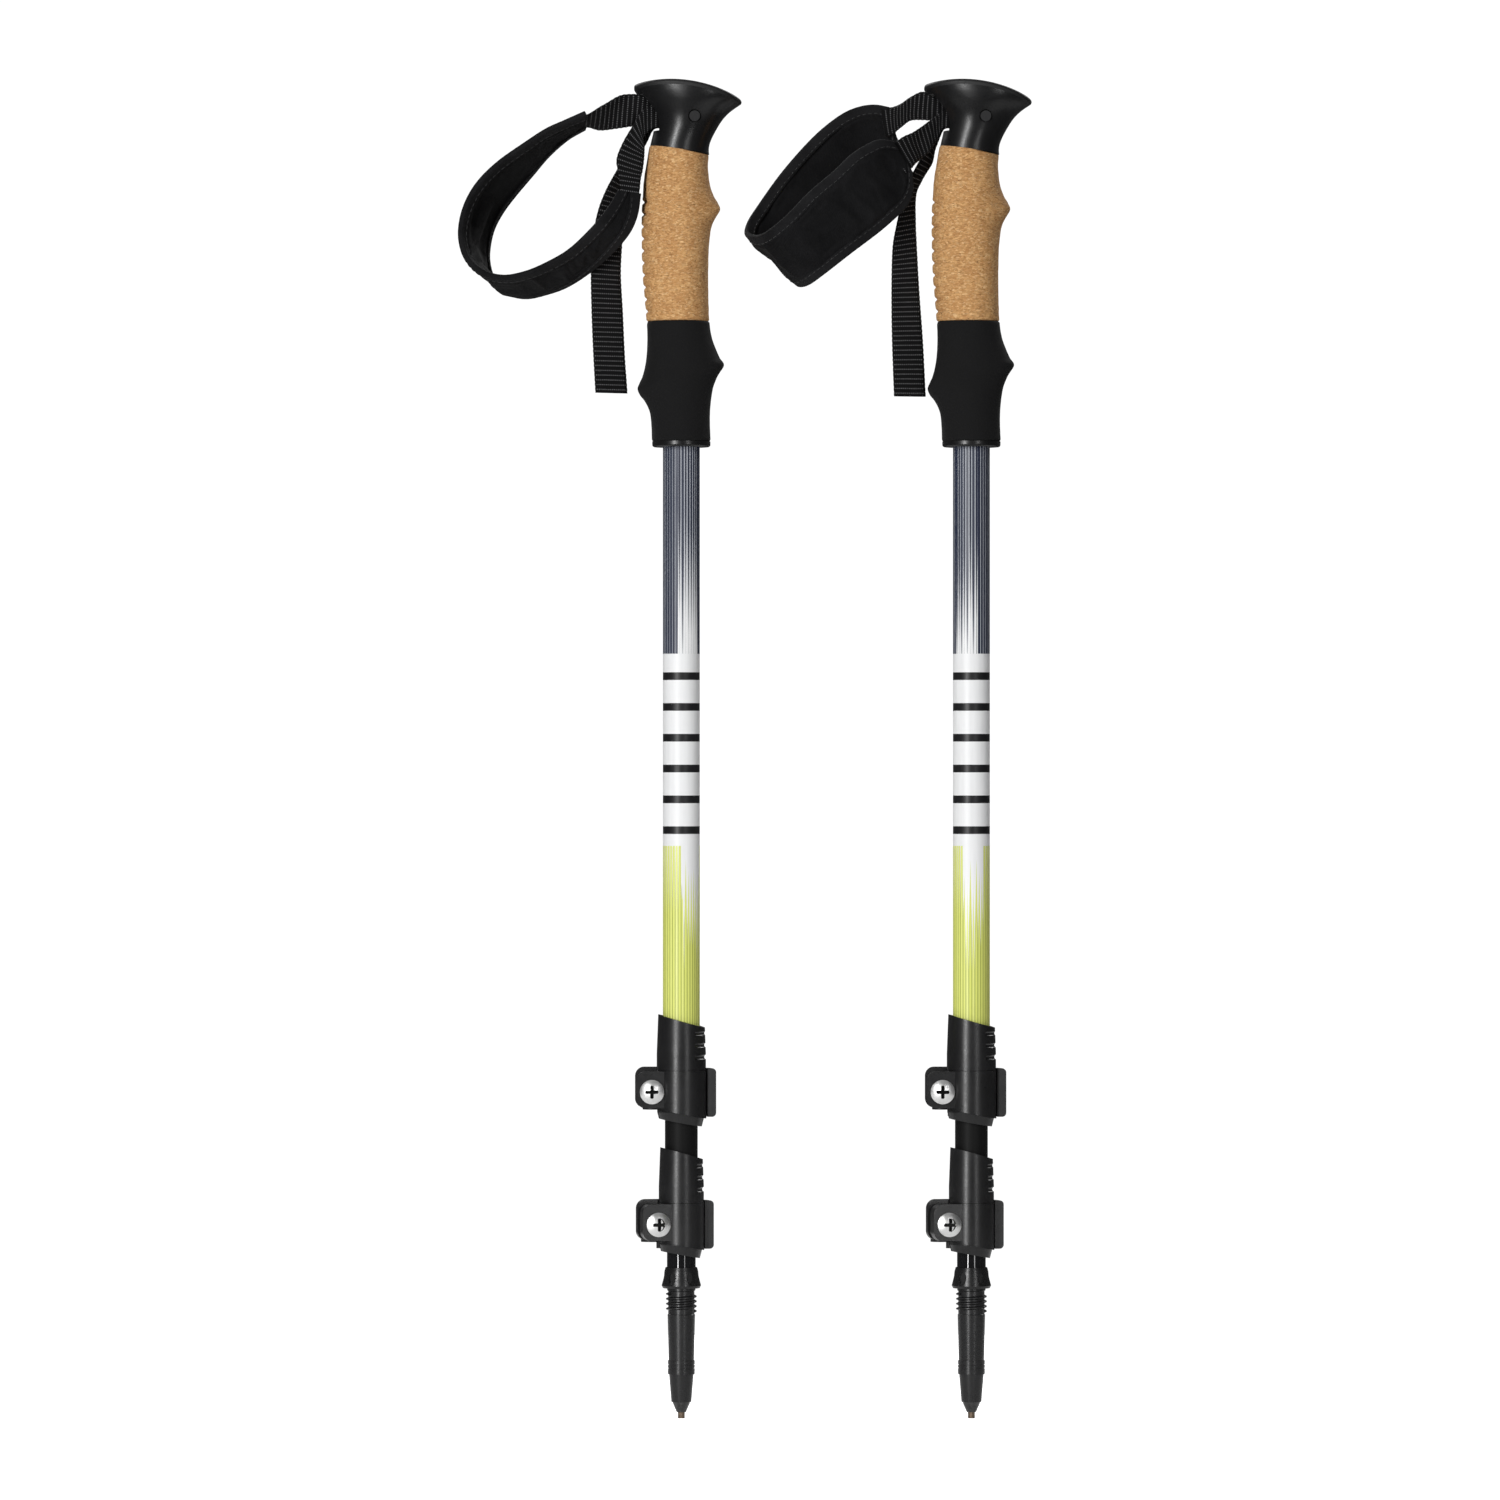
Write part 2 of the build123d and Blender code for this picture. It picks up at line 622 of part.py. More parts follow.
LEFT_UPPER_LEG = [
    ((-13.5, -2.5, 643.0), (-13.5, -1.0, 630.5)),
    ((-19.2, -3.0, 644.2), (-20.5, -1.0, 630.8)),
    ((-25.7, -3.0, 645.6), (-27.0, 0.0, 629.6)),
    ((-31.4, -4.0, 644.5), (-33.0, 2.0, 628.9)),
    ((-38.2, -6.5, 640.1), (-40.0, 4.5, 629.0)),
    ((-45.0, -8.2, 636.0), (-46.3, 6.3, 630.6)),
]
LEFT_LOWER_LEG = [
    ((-13.5, -5.0, 641.0), (-13.5, -5.5, 629.0)),
    ((-19.5, -6.0, 636.5), (-18.4, -6.0, 624.5)),
    ((-26.0, -7.0, 626.5), (-18.7, -7.5, 617.5)),
    ((-31.2, -8.5, 615.5), (-18.9, -9.0, 611.5)),
    ((-30.4, -10.5, 605.9), (-19.7, -11.0, 603.9)),
    ((-29.5, -12.0, 599.0), (-20.2, -12.5, 598.3)),
]
LEFT_TAIL = [
    ((-14.5, 6.0, 633.5), (-14.5, 6.0, 629.6)),
    ((-20.0, 3.5, 626.5), (-19.0, 9.0, 622.0)),
    ((-31.4, 5.0, 609.0), (-24.5, 11.5, 606.0)),
    ((-36.9, 6.5, 599.5), (-27.0, 12.0, 596.0)),
    ((-42.0, 8.0, 583.0), (-28.5, 11.0, 580.0)),
    ((-44.3, 9.0, 557.0), (-29.7, 9.5, 557.0)),
    ((-43.6, 9.0, 530.0), (-28.2, 9.0, 530.0)),
    ((-42.1, 8.5, 500.2), (-26.5, 8.5, 500.2)),
]
LEFT_PAD = [
    ((-46.5, -9.0, 635.5), (-47.5, 6.5, 630.0)),
    ((-56.7, -13.0, 630.7), (-54.5, 10.0, 624.0)),
    ((-75.5, -16.0, 620.2), (-68.0, 15.0, 608.5)),
    ((-90.0, -16.5, 610.0), (-80.5, 16.0, 598.0)),
    ((-103.0, -16.5, 594.1), (-92.0, 16.0, 583.0)),
    ((-107.0, -16.5, 576.0), (-95.3, 16.0, 566.5)),
    ((-100.0, -16.5, 561.5), (-88.0, 16.0, 551.5)),
    ((-85.0, -16.5, 556.1), (-73.0, 16.0, 547.8)),
    ((-65.0, -15.5, 562.0), (-55.5, 10.0, 553.0)),
    ((-51.0, -13.0, 571.5), (-40.0, 1.5, 562.0)),
    ((-40.0, -12.5, 583.5), (-28.0, -5.0, 574.0)),
    ((-30.0, -12.5, 597.0), (-20.4, -12.8, 596.5)),
]
RIGHT_UPPER_LEG = [
    ((-13.5, -3.0, 642.5), (-13.5, -1.5, 630.5)),
    ((-19.5, -3.0, 644.0), (-20.0, -1.0, 632.5)),
    ((-25.5, -2.0, 646.6), (-25.5, 1.0, 633.4)),
    ((-32.5, 4.0, 643.0), (-32.0, 6.5, 632.0)),
    ((-38.5, 11.0, 640.0), (-36.5, 13.0, 627.5)),
]
RIGHT_LOWER_LEG = [
    ((-13.5, -5.5, 637.0), (-13.8, -5.5, 628.4)),
    ((-18.8, -6.5, 633.0), (-18.6, -6.5, 622.0)),
    ((-26.0, -11.0, 628.0), (-23.5, -11.0, 614.5)),
    ((-32.0, -16.0, 624.5), (-27.0, -16.0, 610.5)),
    ((-37.0, -19.4, 620.5), (-29.0, -17.6, 608.0)),
]
RIGHT_TAIL = [
    ((-14.5, 6.0, 633.0), (-14.5, 6.0, 629.6)),
    ((-21.5, 3.5, 622.5), (-20.0, 9.0, 618.0)),
    ((-31.0, 6.0, 604.5), (-23.5, 11.0, 607.0)),
    ((-35.5, 7.0, 590.0), (-27.0, 11.5, 597.0)),
    ((-38.2, 8.0, 573.2), (-26.5, 10.5, 578.0)),
    ((-38.7, 9.0, 545.4), (-24.8, 9.5, 545.4)),
    ((-37.8, 8.5, 498.6), (-22.2, 8.5, 498.6)),
]
RIGHT_PAD = [
    ((-38.0, -19.5, 620.8), (-29.0, -17.5, 606.5)),
    ((-46.0, -22.5, 621.0), (-29.5, -14.5, 596.0)),
    ((-57.3, -24.5, 615.1), (-37.0, -16.0, 585.5)),
    ((-67.0, -25.0, 605.9), (-47.0, -16.5, 577.0)),
    ((-78.7, -24.0, 596.0), (-59.5, -15.5, 567.8)),
    ((-91.4, -20.0, 583.0), (-72.0, -11.5, 558.2)),
    ((-102.5, -12.5, 575.5), (-80.0, -5.0, 552.8)),
    ((-110.0, -2.0, 577.5), (-85.0, 4.0, 553.4)),
    ((-108.5, 6.0, 584.0), (-85.0, 13.0, 560.0)),
    ((-101.0, 11.0, 595.0), (-78.5, 19.0, 570.5)),
    ((-91.0, 13.5, 609.0), (-68.5, 21.5, 584.5)),
    ((-79.0, 15.5, 622.5), (-57.0, 23.5, 598.0)),
    ((-67.0, 16.0, 633.5), (-46.0, 24.0, 608.5)),
    ((-55.8, 15.0, 640.0), (-38.0, 21.5, 617.0)),
    ((-47.0, 13.5, 641.0), (-35.5, 17.5, 623.0)),
    ((-40.0, 12.0, 639.8), (-37.0, 14.5, 625.5)),
]


def band(stations, thickness):
    """Flat band carried through its stations, square to its own run at each of them."""
    edges = [(Vector(*first), Vector(*second)) for first, second in stations]
    middles = [(first + second) * 0.5 for first, second in edges]
    with BuildPart() as strip:
        for index, (first, second) in enumerate(edges):
            before = middles[max(index - 1, 0)]
            after = middles[min(index + 1, len(middles) - 1)]
            across = second - first
            run = (after - before).normalized()
            square_run = run - across * (run.dot(across) / across.dot(across))
            with BuildSketch(Plane(origin=middles[index], x_dir=across, z_dir=square_run)):
                Rectangle(across.length, thickness)
        loft(ruled=True)
    return strip.part


# ---- All pieces ------------------------------------------------------------------------------


def clamp(name, seam_z, slim, turn):
    """The five pieces of one clamp, turned about the pole axis."""
    makers = {
        "sleeve": clamp_sleeve,
        "band": clamp_band,
        "screw": clamp_screw,
        "barrel": clamp_barrel,
        "lever": clamp_lever,
    }
    turned = Location((0, 0, 0), (0, 0, turn))
    return {f"{name}_clamp_{key}": make(seam_z, slim).moved(turned) for key, make in makers.items()}


shared = {
    "palm_cap": palm_cap(),
    "grip_head": grip_head(),
    "cork_grip": cork_grip(),
    "foam_grip": foam_grip(),
    "grip_end_ring": grip_end_ring(),
    "strap_pin": strap_pin(),
    "strap_fold": strap_fold(),
    "strap_wedge": strap_wedge(),
    "upper_tube": tube(UPPER_TUBE_R, UPPER_TUBE_Z),
    "middle_tube": tube(MIDDLE_TUBE_R, MIDDLE_TUBE_Z),
    "lower_tube": tube(LOWER_TUBE_R, LOWER_TUBE_Z),
    "middle_guide": tube_guide(MIDDLE_TUBE_R, UPPER_TUBE_R - TUBE_WALL, MIDDLE_TUBE_Z[1]),
    "lower_guide": tube_guide(LOWER_TUBE_R, MIDDLE_TUBE_R - TUBE_WALL, LOWER_TUBE_Z[1]),
    **clamp("upper", UPPER_SEAM_Z, 0.0, 0),
    **clamp("lower", LOWER_SEAM_Z, UPPER_TUBE_R - MIDDLE_TUBE_R, LOWER_CLAMP_TURN),
    "tip_body": tip_body(),
    "tip_holder": tip_holder(),
    "tip_point": tip_point(),
}
left_strap = {
    "strap_upper_leg": band(LEFT_UPPER_LEG, WEB_THICK),
    "strap_lower_leg": band(LEFT_LOWER_LEG, WEB_THICK),
    "strap_tail": band(LEFT_TAIL, WEB_THICK),
    "wrist_pad": band(LEFT_PAD, PAD_THICK),
}
right_strap = {
    "strap_upper_leg": band(RIGHT_UPPER_LEG, WEB_THICK),
    "strap_lower_leg": band(RIGHT_LOWER_LEG, WEB_THICK),
    "strap_tail": band(RIGHT_TAIL, WEB_THICK),
    "wrist_pad": band(RIGHT_PAD, PAD_THICK),
}

os.makedirs("parts", exist_ok=True)
for side, axis_x, strap in (("left", LEFT_AXIS_X, left_strap), ("right", RIGHT_AXIS_X, right_strap)):
    for name, piece in {**shared, **strap}.items():
        with BuildPart() as node:
            with Locations((axis_x, 0, 0)):
                add(piece)
        node.part.label = f"{side}_{name}"
        export_step(node.part, f"parts/{node.part.label}.step")
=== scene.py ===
import json
import math

import bpy
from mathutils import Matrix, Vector, noise


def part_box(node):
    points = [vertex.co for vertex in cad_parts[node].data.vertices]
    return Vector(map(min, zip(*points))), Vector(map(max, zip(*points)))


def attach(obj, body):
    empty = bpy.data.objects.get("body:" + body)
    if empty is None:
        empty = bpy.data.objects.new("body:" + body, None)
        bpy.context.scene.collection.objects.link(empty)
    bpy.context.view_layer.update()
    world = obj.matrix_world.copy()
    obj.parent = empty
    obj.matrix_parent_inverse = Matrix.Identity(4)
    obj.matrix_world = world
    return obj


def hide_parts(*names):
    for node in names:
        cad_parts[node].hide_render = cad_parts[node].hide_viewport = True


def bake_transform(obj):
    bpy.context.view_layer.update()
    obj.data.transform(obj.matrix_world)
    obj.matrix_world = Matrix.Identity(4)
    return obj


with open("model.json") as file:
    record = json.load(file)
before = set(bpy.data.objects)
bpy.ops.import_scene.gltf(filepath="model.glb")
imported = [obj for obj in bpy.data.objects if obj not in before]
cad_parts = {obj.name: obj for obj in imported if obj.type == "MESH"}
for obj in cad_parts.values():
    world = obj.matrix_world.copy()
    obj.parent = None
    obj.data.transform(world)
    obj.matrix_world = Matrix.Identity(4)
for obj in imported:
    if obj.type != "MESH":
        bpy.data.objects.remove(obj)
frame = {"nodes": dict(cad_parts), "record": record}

# ---- Sizes: lengths are in millimetres from each pole's axis unless a comment says metres ------

MM = 0.001
SIDES = ("left", "right")


def box_centre_x(node):
    low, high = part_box(node)
    return (low[0] + high[0]) / 2


AXIS_X = {side: box_centre_x(f"{side}_upper_tube") for side in SIDES}  # metres
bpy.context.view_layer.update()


# ---- Node trees -------------------------------------------------------------------------------


class Shader:
    """A material's node tree, with short calls for the nodes that the finishes below use."""

    def __init__(self, name, **settings):
        self.material = bpy.data.materials.new(name)
        self.material.use_nodes = True
        self.tree = self.material.node_tree
        self.surface = self.tree.nodes["Principled BSDF"]
        for key, value in settings.items():
            self.surface.inputs[key.replace("_", " ")].default_value = value

    def node(self, kind, inputs=None, **attributes):
        made = self.tree.nodes.new(kind)
        for key, value in attributes.items():
            setattr(made, key, value)
        for key, value in (inputs or {}).items():
            self.plug(made.inputs[key], value)
        return made

    def plug(self, socket, value):
        if isinstance(value, bpy.types.NodeSocket):
            self.tree.links.new(value, socket)
        else:
            socket.default_value = value

    def place(self, kind="Object"):
        return self.node("ShaderNodeTexCoord").outputs[kind]

    def math(self, operation, *values):
        made = self.node("ShaderNodeMath", operation=operation)
        for index, value in enumerate(values):
            self.plug(made.inputs[index], value)
        return made.outputs[0]

    def times(self, first, second):
        return self.math("MULTIPLY", first, second)

    def plus(self, first, second):
        return self.math("ADD", first, second)

    def minus(self, first, second):
        return self.math("SUBTRACT", first, second)

    def below(self, value, limit):
        return self.math("LESS_THAN", value, limit)

    def above(self, value, limit):
        return self.math("GREATER_THAN", value, limit)

    def scaled(self, vector, scale):
        made = self.node("ShaderNodeVectorMath", operation="MULTIPLY")
        self.plug(made.inputs[0], vector)
        made.inputs[1].default_value = scale
        return made.outputs[0]

    def xyz(self, vector):
        return self.node("ShaderNodeSeparateXYZ", {"Vector": vector}).outputs

    def noise(self, vector, scale, detail=3.0, roughness=0.6):
        inputs = {"Vector": vector, "Scale": scale, "Detail": detail, "Roughness": roughness}
        return self.node("ShaderNodeTexNoise", inputs).outputs["Fac"]

    def cells(self, vector, scale, output="Distance", feature="F1"):
        inputs = {"Vector": vector, "Scale": scale}
        return self.node("ShaderNodeTexVoronoi", inputs, feature=feature).outputs[output]

    def remap(self, value, low, high, to_low=0.0, to_high=1.0, smooth=False):
        made = self.node("ShaderNodeMapRange", interpolation_type="SMOOTHSTEP" if smooth else "LINEAR")
        for key, number in zip(("Value", "From Min", "From Max", "To Min", "To Max"),
                               (value, low, high, to_low, to_high)):
            self.plug(made.inputs[key], number)
        return made.outputs["Result"]

    def mix(self, factor, first, second):
        made = self.node("ShaderNodeMix", data_type="RGBA")
        self.plug(made.inputs["Factor"], factor)
        for socket, colour in ((made.inputs[6], first), (made.inputs[7], second)):
            self.plug(socket, colour if isinstance(colour, bpy.types.NodeSocket) else (*colour, 1.0))
        return made.outputs[2]

    def bump(self, height, distance, strength=1.0):
        inputs = {"Height": height, "Distance": distance, "Strength": strength}
        made = self.node("ShaderNodeBump", inputs)
        self.plug(self.surface.inputs["Normal"], made.outputs["Normal"])

    def colour(self, value):
        self.plug(self.surface.inputs["Base Color"], value)

    def roughness(self, value):
        self.plug(self.surface.inputs["Roughness"], value)


# ---- Finishes ---------------------------------------------------------------------------------


GRAIN, GRAIN_DEPTH = 1400.0, 0.00002  # the plastic grain's noise scale, and its depth in metres


def moulded_plastic(name, dark, light, low, high):
    """Moulded plastic: a fine spark-eroded grain, with gloss and shade that wander a little."""
    shader = Shader(name, Specular_IOR_Level=0.4)
    place = shader.place()
    wander = shader.noise(place, 60.0, 4.0)
    fine = shader.noise(place, GRAIN, 2.0, 0.5)
    shader.colour(shader.mix(wander, dark, light))
    shader.roughness(shader.remap(shader.plus(wander, fine), 0.6, 1.4, low, high))
    shader.bump(fine, GRAIN_DEPTH)
    return shader.material


GRANULES = 1050.0  # cells to the metre


def cork_finish():
    """Pressed cork: small pale granules in tan, wider than they are tall, with dark specks."""
    shader = Shader("cork", Specular_IOR_Level=0.3)
    place = shader.place()
    drift = shader.scaled(place, (0.75, 0.75, 1.5))
    thin = shader.scaled(place, (0.6, 0.6, 2.0))
    cloud = shader.noise(place, 70.0, 4.0)
    granule = shader.cells(drift, GRANULES, "Color")
    tone = shader.xyz(granule)
    edge = shader.cells(drift, GRANULES, "Distance", "DISTANCE_TO_EDGE")
    speck = shader.noise(thin, 900.0, 3.0, 0.7)
    fleck = shader.noise(drift, 620.0, 2.0, 0.5)
    base = shader.mix(shader.remap(cloud, 0.3, 0.7), (0.450, 0.212, 0.072), (0.545, 0.278, 0.102))
    base = shader.mix(shader.remap(tone[0], 0.0, 1.0, 0.0, 0.70), base, (0.76, 0.46, 0.195))
    base = shader.mix(shader.remap(tone[1], 0.72, 0.95, 0.0, 0.45), base, (0.90, 0.64, 0.34))
    base = shader.mix(shader.remap(tone[2], 0.70, 0.95, 0.0, 0.40), base, (0.33, 0.155, 0.055))
    base = shader.mix(shader.remap(edge, 0.0, 0.09, 0.34, 0.0), base, (0.34, 0.165, 0.060))
    base = shader.mix(shader.remap(speck, 0.53, 0.66, 0.0, 0.72), base, (0.24, 0.105, 0.036))
    base = shader.mix(shader.remap(fleck, 0.70, 0.76, 0.0, 0.80), base, (0.15, 0.068, 0.028))
    shader.colour(base)
    shader.roughness(shader.remap(speck, 0.3, 0.7, 0.72, 0.9))
    height = shader.minus(shader.remap(edge, 0.0, 0.12), shader.times(speck, 0.9))
    shader.bump(height, 0.00010)
    return shader.material


def foam_finish():
    """Closed-cell foam: dull black with a felt-like grain."""
    shader = Shader("foam", Specular_IOR_Level=0.14, Sheen_Weight=0.02, Sheen_Roughness=0.6)
    place = shader.place()
    cell = shader.cells(place, 1700.0)
    cloud = shader.noise(place, 70.0, 5.0)
    shader.colour(shader.mix(cloud, (0.0045, 0.0045, 0.0047), (0.0090, 0.0090, 0.0093)))
    shader.roughness(shader.remap(cloud, 0.3, 0.7, 0.8, 0.95))
    shader.bump(cell, 0.00006)
    return shader.material


CORD_PITCH = 2.35  # millimetres along the webbing from one cord to the next
DASH_PITCH = 0.92


def webbing_finish():
    """Polyester webbing: crosswise cords, with a row of small float threads on each, coloured bright as a
    painted highlight.
    """
    shader = Shader("webbing", Specular_IOR_Level=0.12, Sheen_Weight=0.02, Sheen_Roughness=0.45)
    uv = shader.place("UV")  # millimetres across and along
    axes = shader.xyz(uv)
    thread = shader.noise(shader.scaled(uv, (3.0, 0.9, 1.0)), 2.0, 3.0)
    cord = shader.math("SINE", shader.times(axes[1], math.tau / CORD_PITCH))
    row = shader.remap(cord, 0.55, 0.92, smooth=True)
    dash = shader.math("SINE", shader.times(axes[0], math.tau / DASH_PITCH))
    floats_and_highlight = shader.times(row, shader.remap(dash, -0.3, 0.45, smooth=True))
    floats_and_highlight = shader.times(floats_and_highlight, shader.remap(thread, 0.28, 0.62, 0.25, 1.0))
    lift = shader.plus(shader.times(cord, 0.5), shader.times(floats_and_highlight, 0.9))
    base = shader.mix(shader.remap(thread, 0.3, 0.7), (0.0014, 0.0014, 0.0016), (0.0040, 0.0040, 0.0043))
    # Painted highlight: the float threads are coloured bright on the black webbing. Their bump and
    # roughness stand for the real threads.
    shader.colour(shader.mix(floats_and_highlight, base, (0.170, 0.170, 0.175)))
    shader.roughness(shader.remap(floats_and_highlight, 0.0, 1.0, 0.85, 0.5))
    shader.bump(shader.plus(lift, shader.times(thread, 0.3)), 0.00016)
    return shader.material


def knit_finish(name, dark, light, pitch):
    """Fine fabric: a small two-way weave under loose fuzz."""
    shader = Shader(name, Specular_IOR_Level=0.10, Sheen_Weight=0.02, Sheen_Roughness=0.5)
    place = shader.place()
    axes = shader.xyz(place)
    step = math.tau / pitch
    first = shader.math("SINE", shader.times(shader.plus(axes[0], axes[2]), step))
    second = shader.math("SINE", shader.times(shader.minus(axes[2], axes[1]), step))
    weave = shader.times(first, second)
    fuzz = shader.noise(place, 1200.0, 3.0)
    cloud = shader.noise(place, 34.0, 5.0, 0.65)
    tone = shader.plus(shader.times(weave, 0.10), cloud)
    shader.colour(shader.mix(shader.remap(tone, 0.36, 0.72), dark, light))
    shader.roughness(shader.remap(fuzz, 0.3, 0.7, 0.68, 0.9))
    shader.bump(shader.plus(weave, fuzz), 0.00005)
    return shader.material


def thread_finish():
    """Sewing thread: dark grey with a twist."""
    shader = Shader("thread", Specular_IOR_Level=0.4, Sheen_Weight=0.2)
    twist = shader.noise(shader.place(), 2600.0, 2.0)
    shader.colour(shader.mix(twist, (0.004, 0.004, 0.0045), (0.016, 0.016, 0.017)))
    shader.roughness(shader.remap(twist, 0.3, 0.7, 0.5, 0.75))
    shader.bump(twist, 0.00004)
    return shader.material


def anodised(name, dark, light, low, high, shine):
    """Drawn and anodised tube: faint streaks along its length."""
    shader = Shader(name, Specular_IOR_Level=shine)
    place = shader.place()
    drawn = shader.noise(shader.scaled(place, (1.0, 1.0, 0.02)), 900.0, 3.0)
    cloud = shader.noise(place, 25.0, 3.0)
    shader.colour(shader.mix(drawn, dark, light))
    shader.roughness(shader.remap(shader.plus(drawn, cloud), 0.7, 1.3, low, high))
    shader.bump(drawn, 0.000015)
    return shader.material


CROSS_REACH = 0.00345  # metres, the radius that takes in the recess
CROSS_STARTS = 0.0008  # metres behind the top of the dome


def screw_finish(name):
    """Bright plated screw, with painted shade down in its cross recess."""
    low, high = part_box(name)
    shader = Shader(f"chrome_{name}", Metallic=1.0)
    place = shader.place()
    axes = shader.xyz(place)
    across = shader.minus(axes[0], (low[0] + high[0]) / 2)
    up = shader.minus(axes[2], (low[2] + high[2]) / 2)
    away = shader.math("SQRT", shader.plus(shader.times(across, across), shader.times(up, up)))
    deep = shader.times(shader.below(away, CROSS_REACH), shader.above(axes[1], low[1] + CROSS_STARTS))
    marks = shader.noise(place, 1500.0, 4.0)
    plated = shader.mix(shader.noise(place, 300.0, 3.0), (0.74, 0.74, 0.74), (0.92, 0.92, 0.91))
    # Painted shade: the cross recess, picked out by radius and depth, is coloured near-black.
    shader.colour(shader.mix(deep, plated, (0.012, 0.012, 0.012)))
    shader.roughness(shader.remap(marks, 0.3, 0.7, 0.30, 0.42))
    shader.bump(marks, 0.00001)
    return shader.material


def turned_metal(name, dark, light, low, high):
    """Machined or plated metal with fine marks."""
    shader = Shader(name, Metallic=1.0)
    place = shader.place()
    marks = shader.noise(place, 1500.0, 4.0)
    cloud = shader.noise(place, 300.0, 3.0)
    shader.colour(shader.mix(cloud, dark, light))
    shader.roughness(shader.remap(marks, 0.3, 0.7, low, high))
    shader.bump(marks, 0.00001)
    return shader.material


LINES_ROUND = 38.0  # hairlines round the printed tube
NAVY_END_Z = 0.3728  # metres, as the heights below
LIME_START_Z = 0.2792
NAVY_FADE_Z = {"left": (0.378, 0.430), "right": (0.378, 0.420)}
LIME_FADE_Z = (0.215, 0.264)
NAVY_WINDOW = {"left": (0.47, 0.67), "right": (-0.34, 0.67)}  # middle and half width, radians
LIME_WINDOW = {"left": (0.66, 0.62), "right": (0.09, 0.56)}
WINDOW_SOFT, WINDOW_RIM = 0.03, 0.075  # radians to each side of a window's edge
NAVY_SHARE = 0.80  # of a hairline's pitch that is navy, away from its window
LINE_STAGGER = 0.012  # metres that a hairline's fade may start higher or lower


def window(shader, angle, middle, half):
    """Two masks round the tube: 1 inside a window of angles, and 1 on the rim along its edges."""
    away = shader.math("ABSOLUTE", shader.minus(angle, middle))
    inside = shader.remap(away, half - WINDOW_SOFT, half + WINDOW_SOFT, 1.0, 0.0)
    off_edge = shader.math("ABSOLUTE", shader.minus(away, half))
    return inside, shader.below(off_edge, WINDOW_RIM)


def printed_tube(side):
    """White lacquered tube: navy hairlines above, lime hairlines below, plain rings between."""
    shader = Shader(f"printed_tube_{side}", Specular_IOR_Level=0.35)
    axes = shader.xyz(shader.place())
    x = shader.minus(axes[0], AXIS_X[side])
    z = axes[2]
    angle = shader.math("ARCTAN2", x, shader.times(axes[1], -1.0))  # 0 faces -Y
    count = shader.times(shader.plus(angle, math.pi), LINES_ROUND / math.tau)
    number = shader.math("FLOOR", count)
    wave = shader.math("FRACT", count)
    line = shader.times(shader.math("ABSOLUTE", shader.minus(wave, 0.5)), 2.0)
    chance = shader.node("ShaderNodeTexWhiteNoise", {"W": number}, noise_dimensions="1D").outputs["Value"]

    fade, edge = window(shader, angle, *NAVY_WINDOW[side])
    low, high = NAVY_FADE_Z[side]
    reach = shader.remap(chance, 0.0, 1.0, -LINE_STAGGER, LINE_STAGGER)
    rise = shader.remap(shader.plus(z, reach), low, high)
    faded = shader.remap(rise, 0.0, 1.0, 0.05, 0.70)
    width = shader.times(fade, shader.minus(faded, NAVY_SHARE))
    width = shader.plus(width, NAVY_SHARE)
    dense = shader.times(fade, shader.minus(1.0, rise))
    dense = shader.minus(1.0, dense)
    dense = shader.times(dense, shader.above(z, NAVY_END_Z))
    width = shader.plus(width, shader.times(edge, 0.4))
    width = shader.times(width, shader.remap(chance, 0.0, 1.0, 0.78, 1.18))
    navy = shader.times(shader.below(line, width), shader.above(z, NAVY_END_Z))

    lime_fade, _ = window(shader, angle, *LIME_WINDOW[side])
    lime_faded = shader.remap(shader.plus(z, reach), *LIME_FADE_Z, 1.05, 0.0)
    lime_width = shader.times(lime_fade, shader.minus(lime_faded, 0.86))
    lime_width = shader.plus(lime_width, shader.remap(z, 0.24, LIME_START_Z, 1.05, 0.74))
    lime = shader.times(shader.below(line, lime_width), shader.below(z, LIME_START_Z))

    lacquer = shader.noise(shader.scaled(shader.place(), (1.0, 1.0, 0.05)), 600.0, 2.0)
    base = shader.mix(lacquer, (0.74, 0.745, 0.75), (0.83, 0.835, 0.84))
    navy_tone = shader.mix(shader.remap(chance, 0.0, 1.0), (0.006, 0.009, 0.028), (0.045, 0.052, 0.078))
    navy_tone = shader.mix(edge, navy_tone, (0.006, 0.012, 0.040))
    base = shader.mix(dense, base, (0.38, 0.40, 0.44))
    base = shader.mix(navy, base, navy_tone)
    lime_share = shader.remap(chance, 0.0, 1.0, 0.0, 0.5)
    lime_tone = shader.mix(lime_share, (0.64, 0.685, 0.150), (0.78, 0.81, 0.30))
    lime_tone = shader.mix(shader.remap(line, 0.60, 0.80), lime_tone, (0.34, 0.37, 0.070))
    base = shader.mix(lime, base, lime_tone)
    base = shader.mix(plain_rings(shader, z), base, (0.008, 0.008, 0.009))
    shader.colour(base)
    shader.roughness(shader.remap(lacquer, 0.3, 0.7, 0.36, 0.46))
    shader.bump(navy, 0.00001, 0.3)
    return shader.material


RING_Z = (0.2849, 0.3670)  # the band of plain rings in the white stretch
RING_PITCH = 0.0150
RING_SHARE = 0.25  # of the pitch that is black


def plain_rings(shader, z):
    """Generic trim in the white stretch: plain rings round the tube."""
    turn = shader.math("FRACT", shader.math("DIVIDE", z, RING_PITCH))
    ring = shader.below(turn, RING_SHARE)
    between = shader.times(shader.above(z, RING_Z[0]), shader.below(z, RING_Z[1]))
    return shader.times(ring, between)


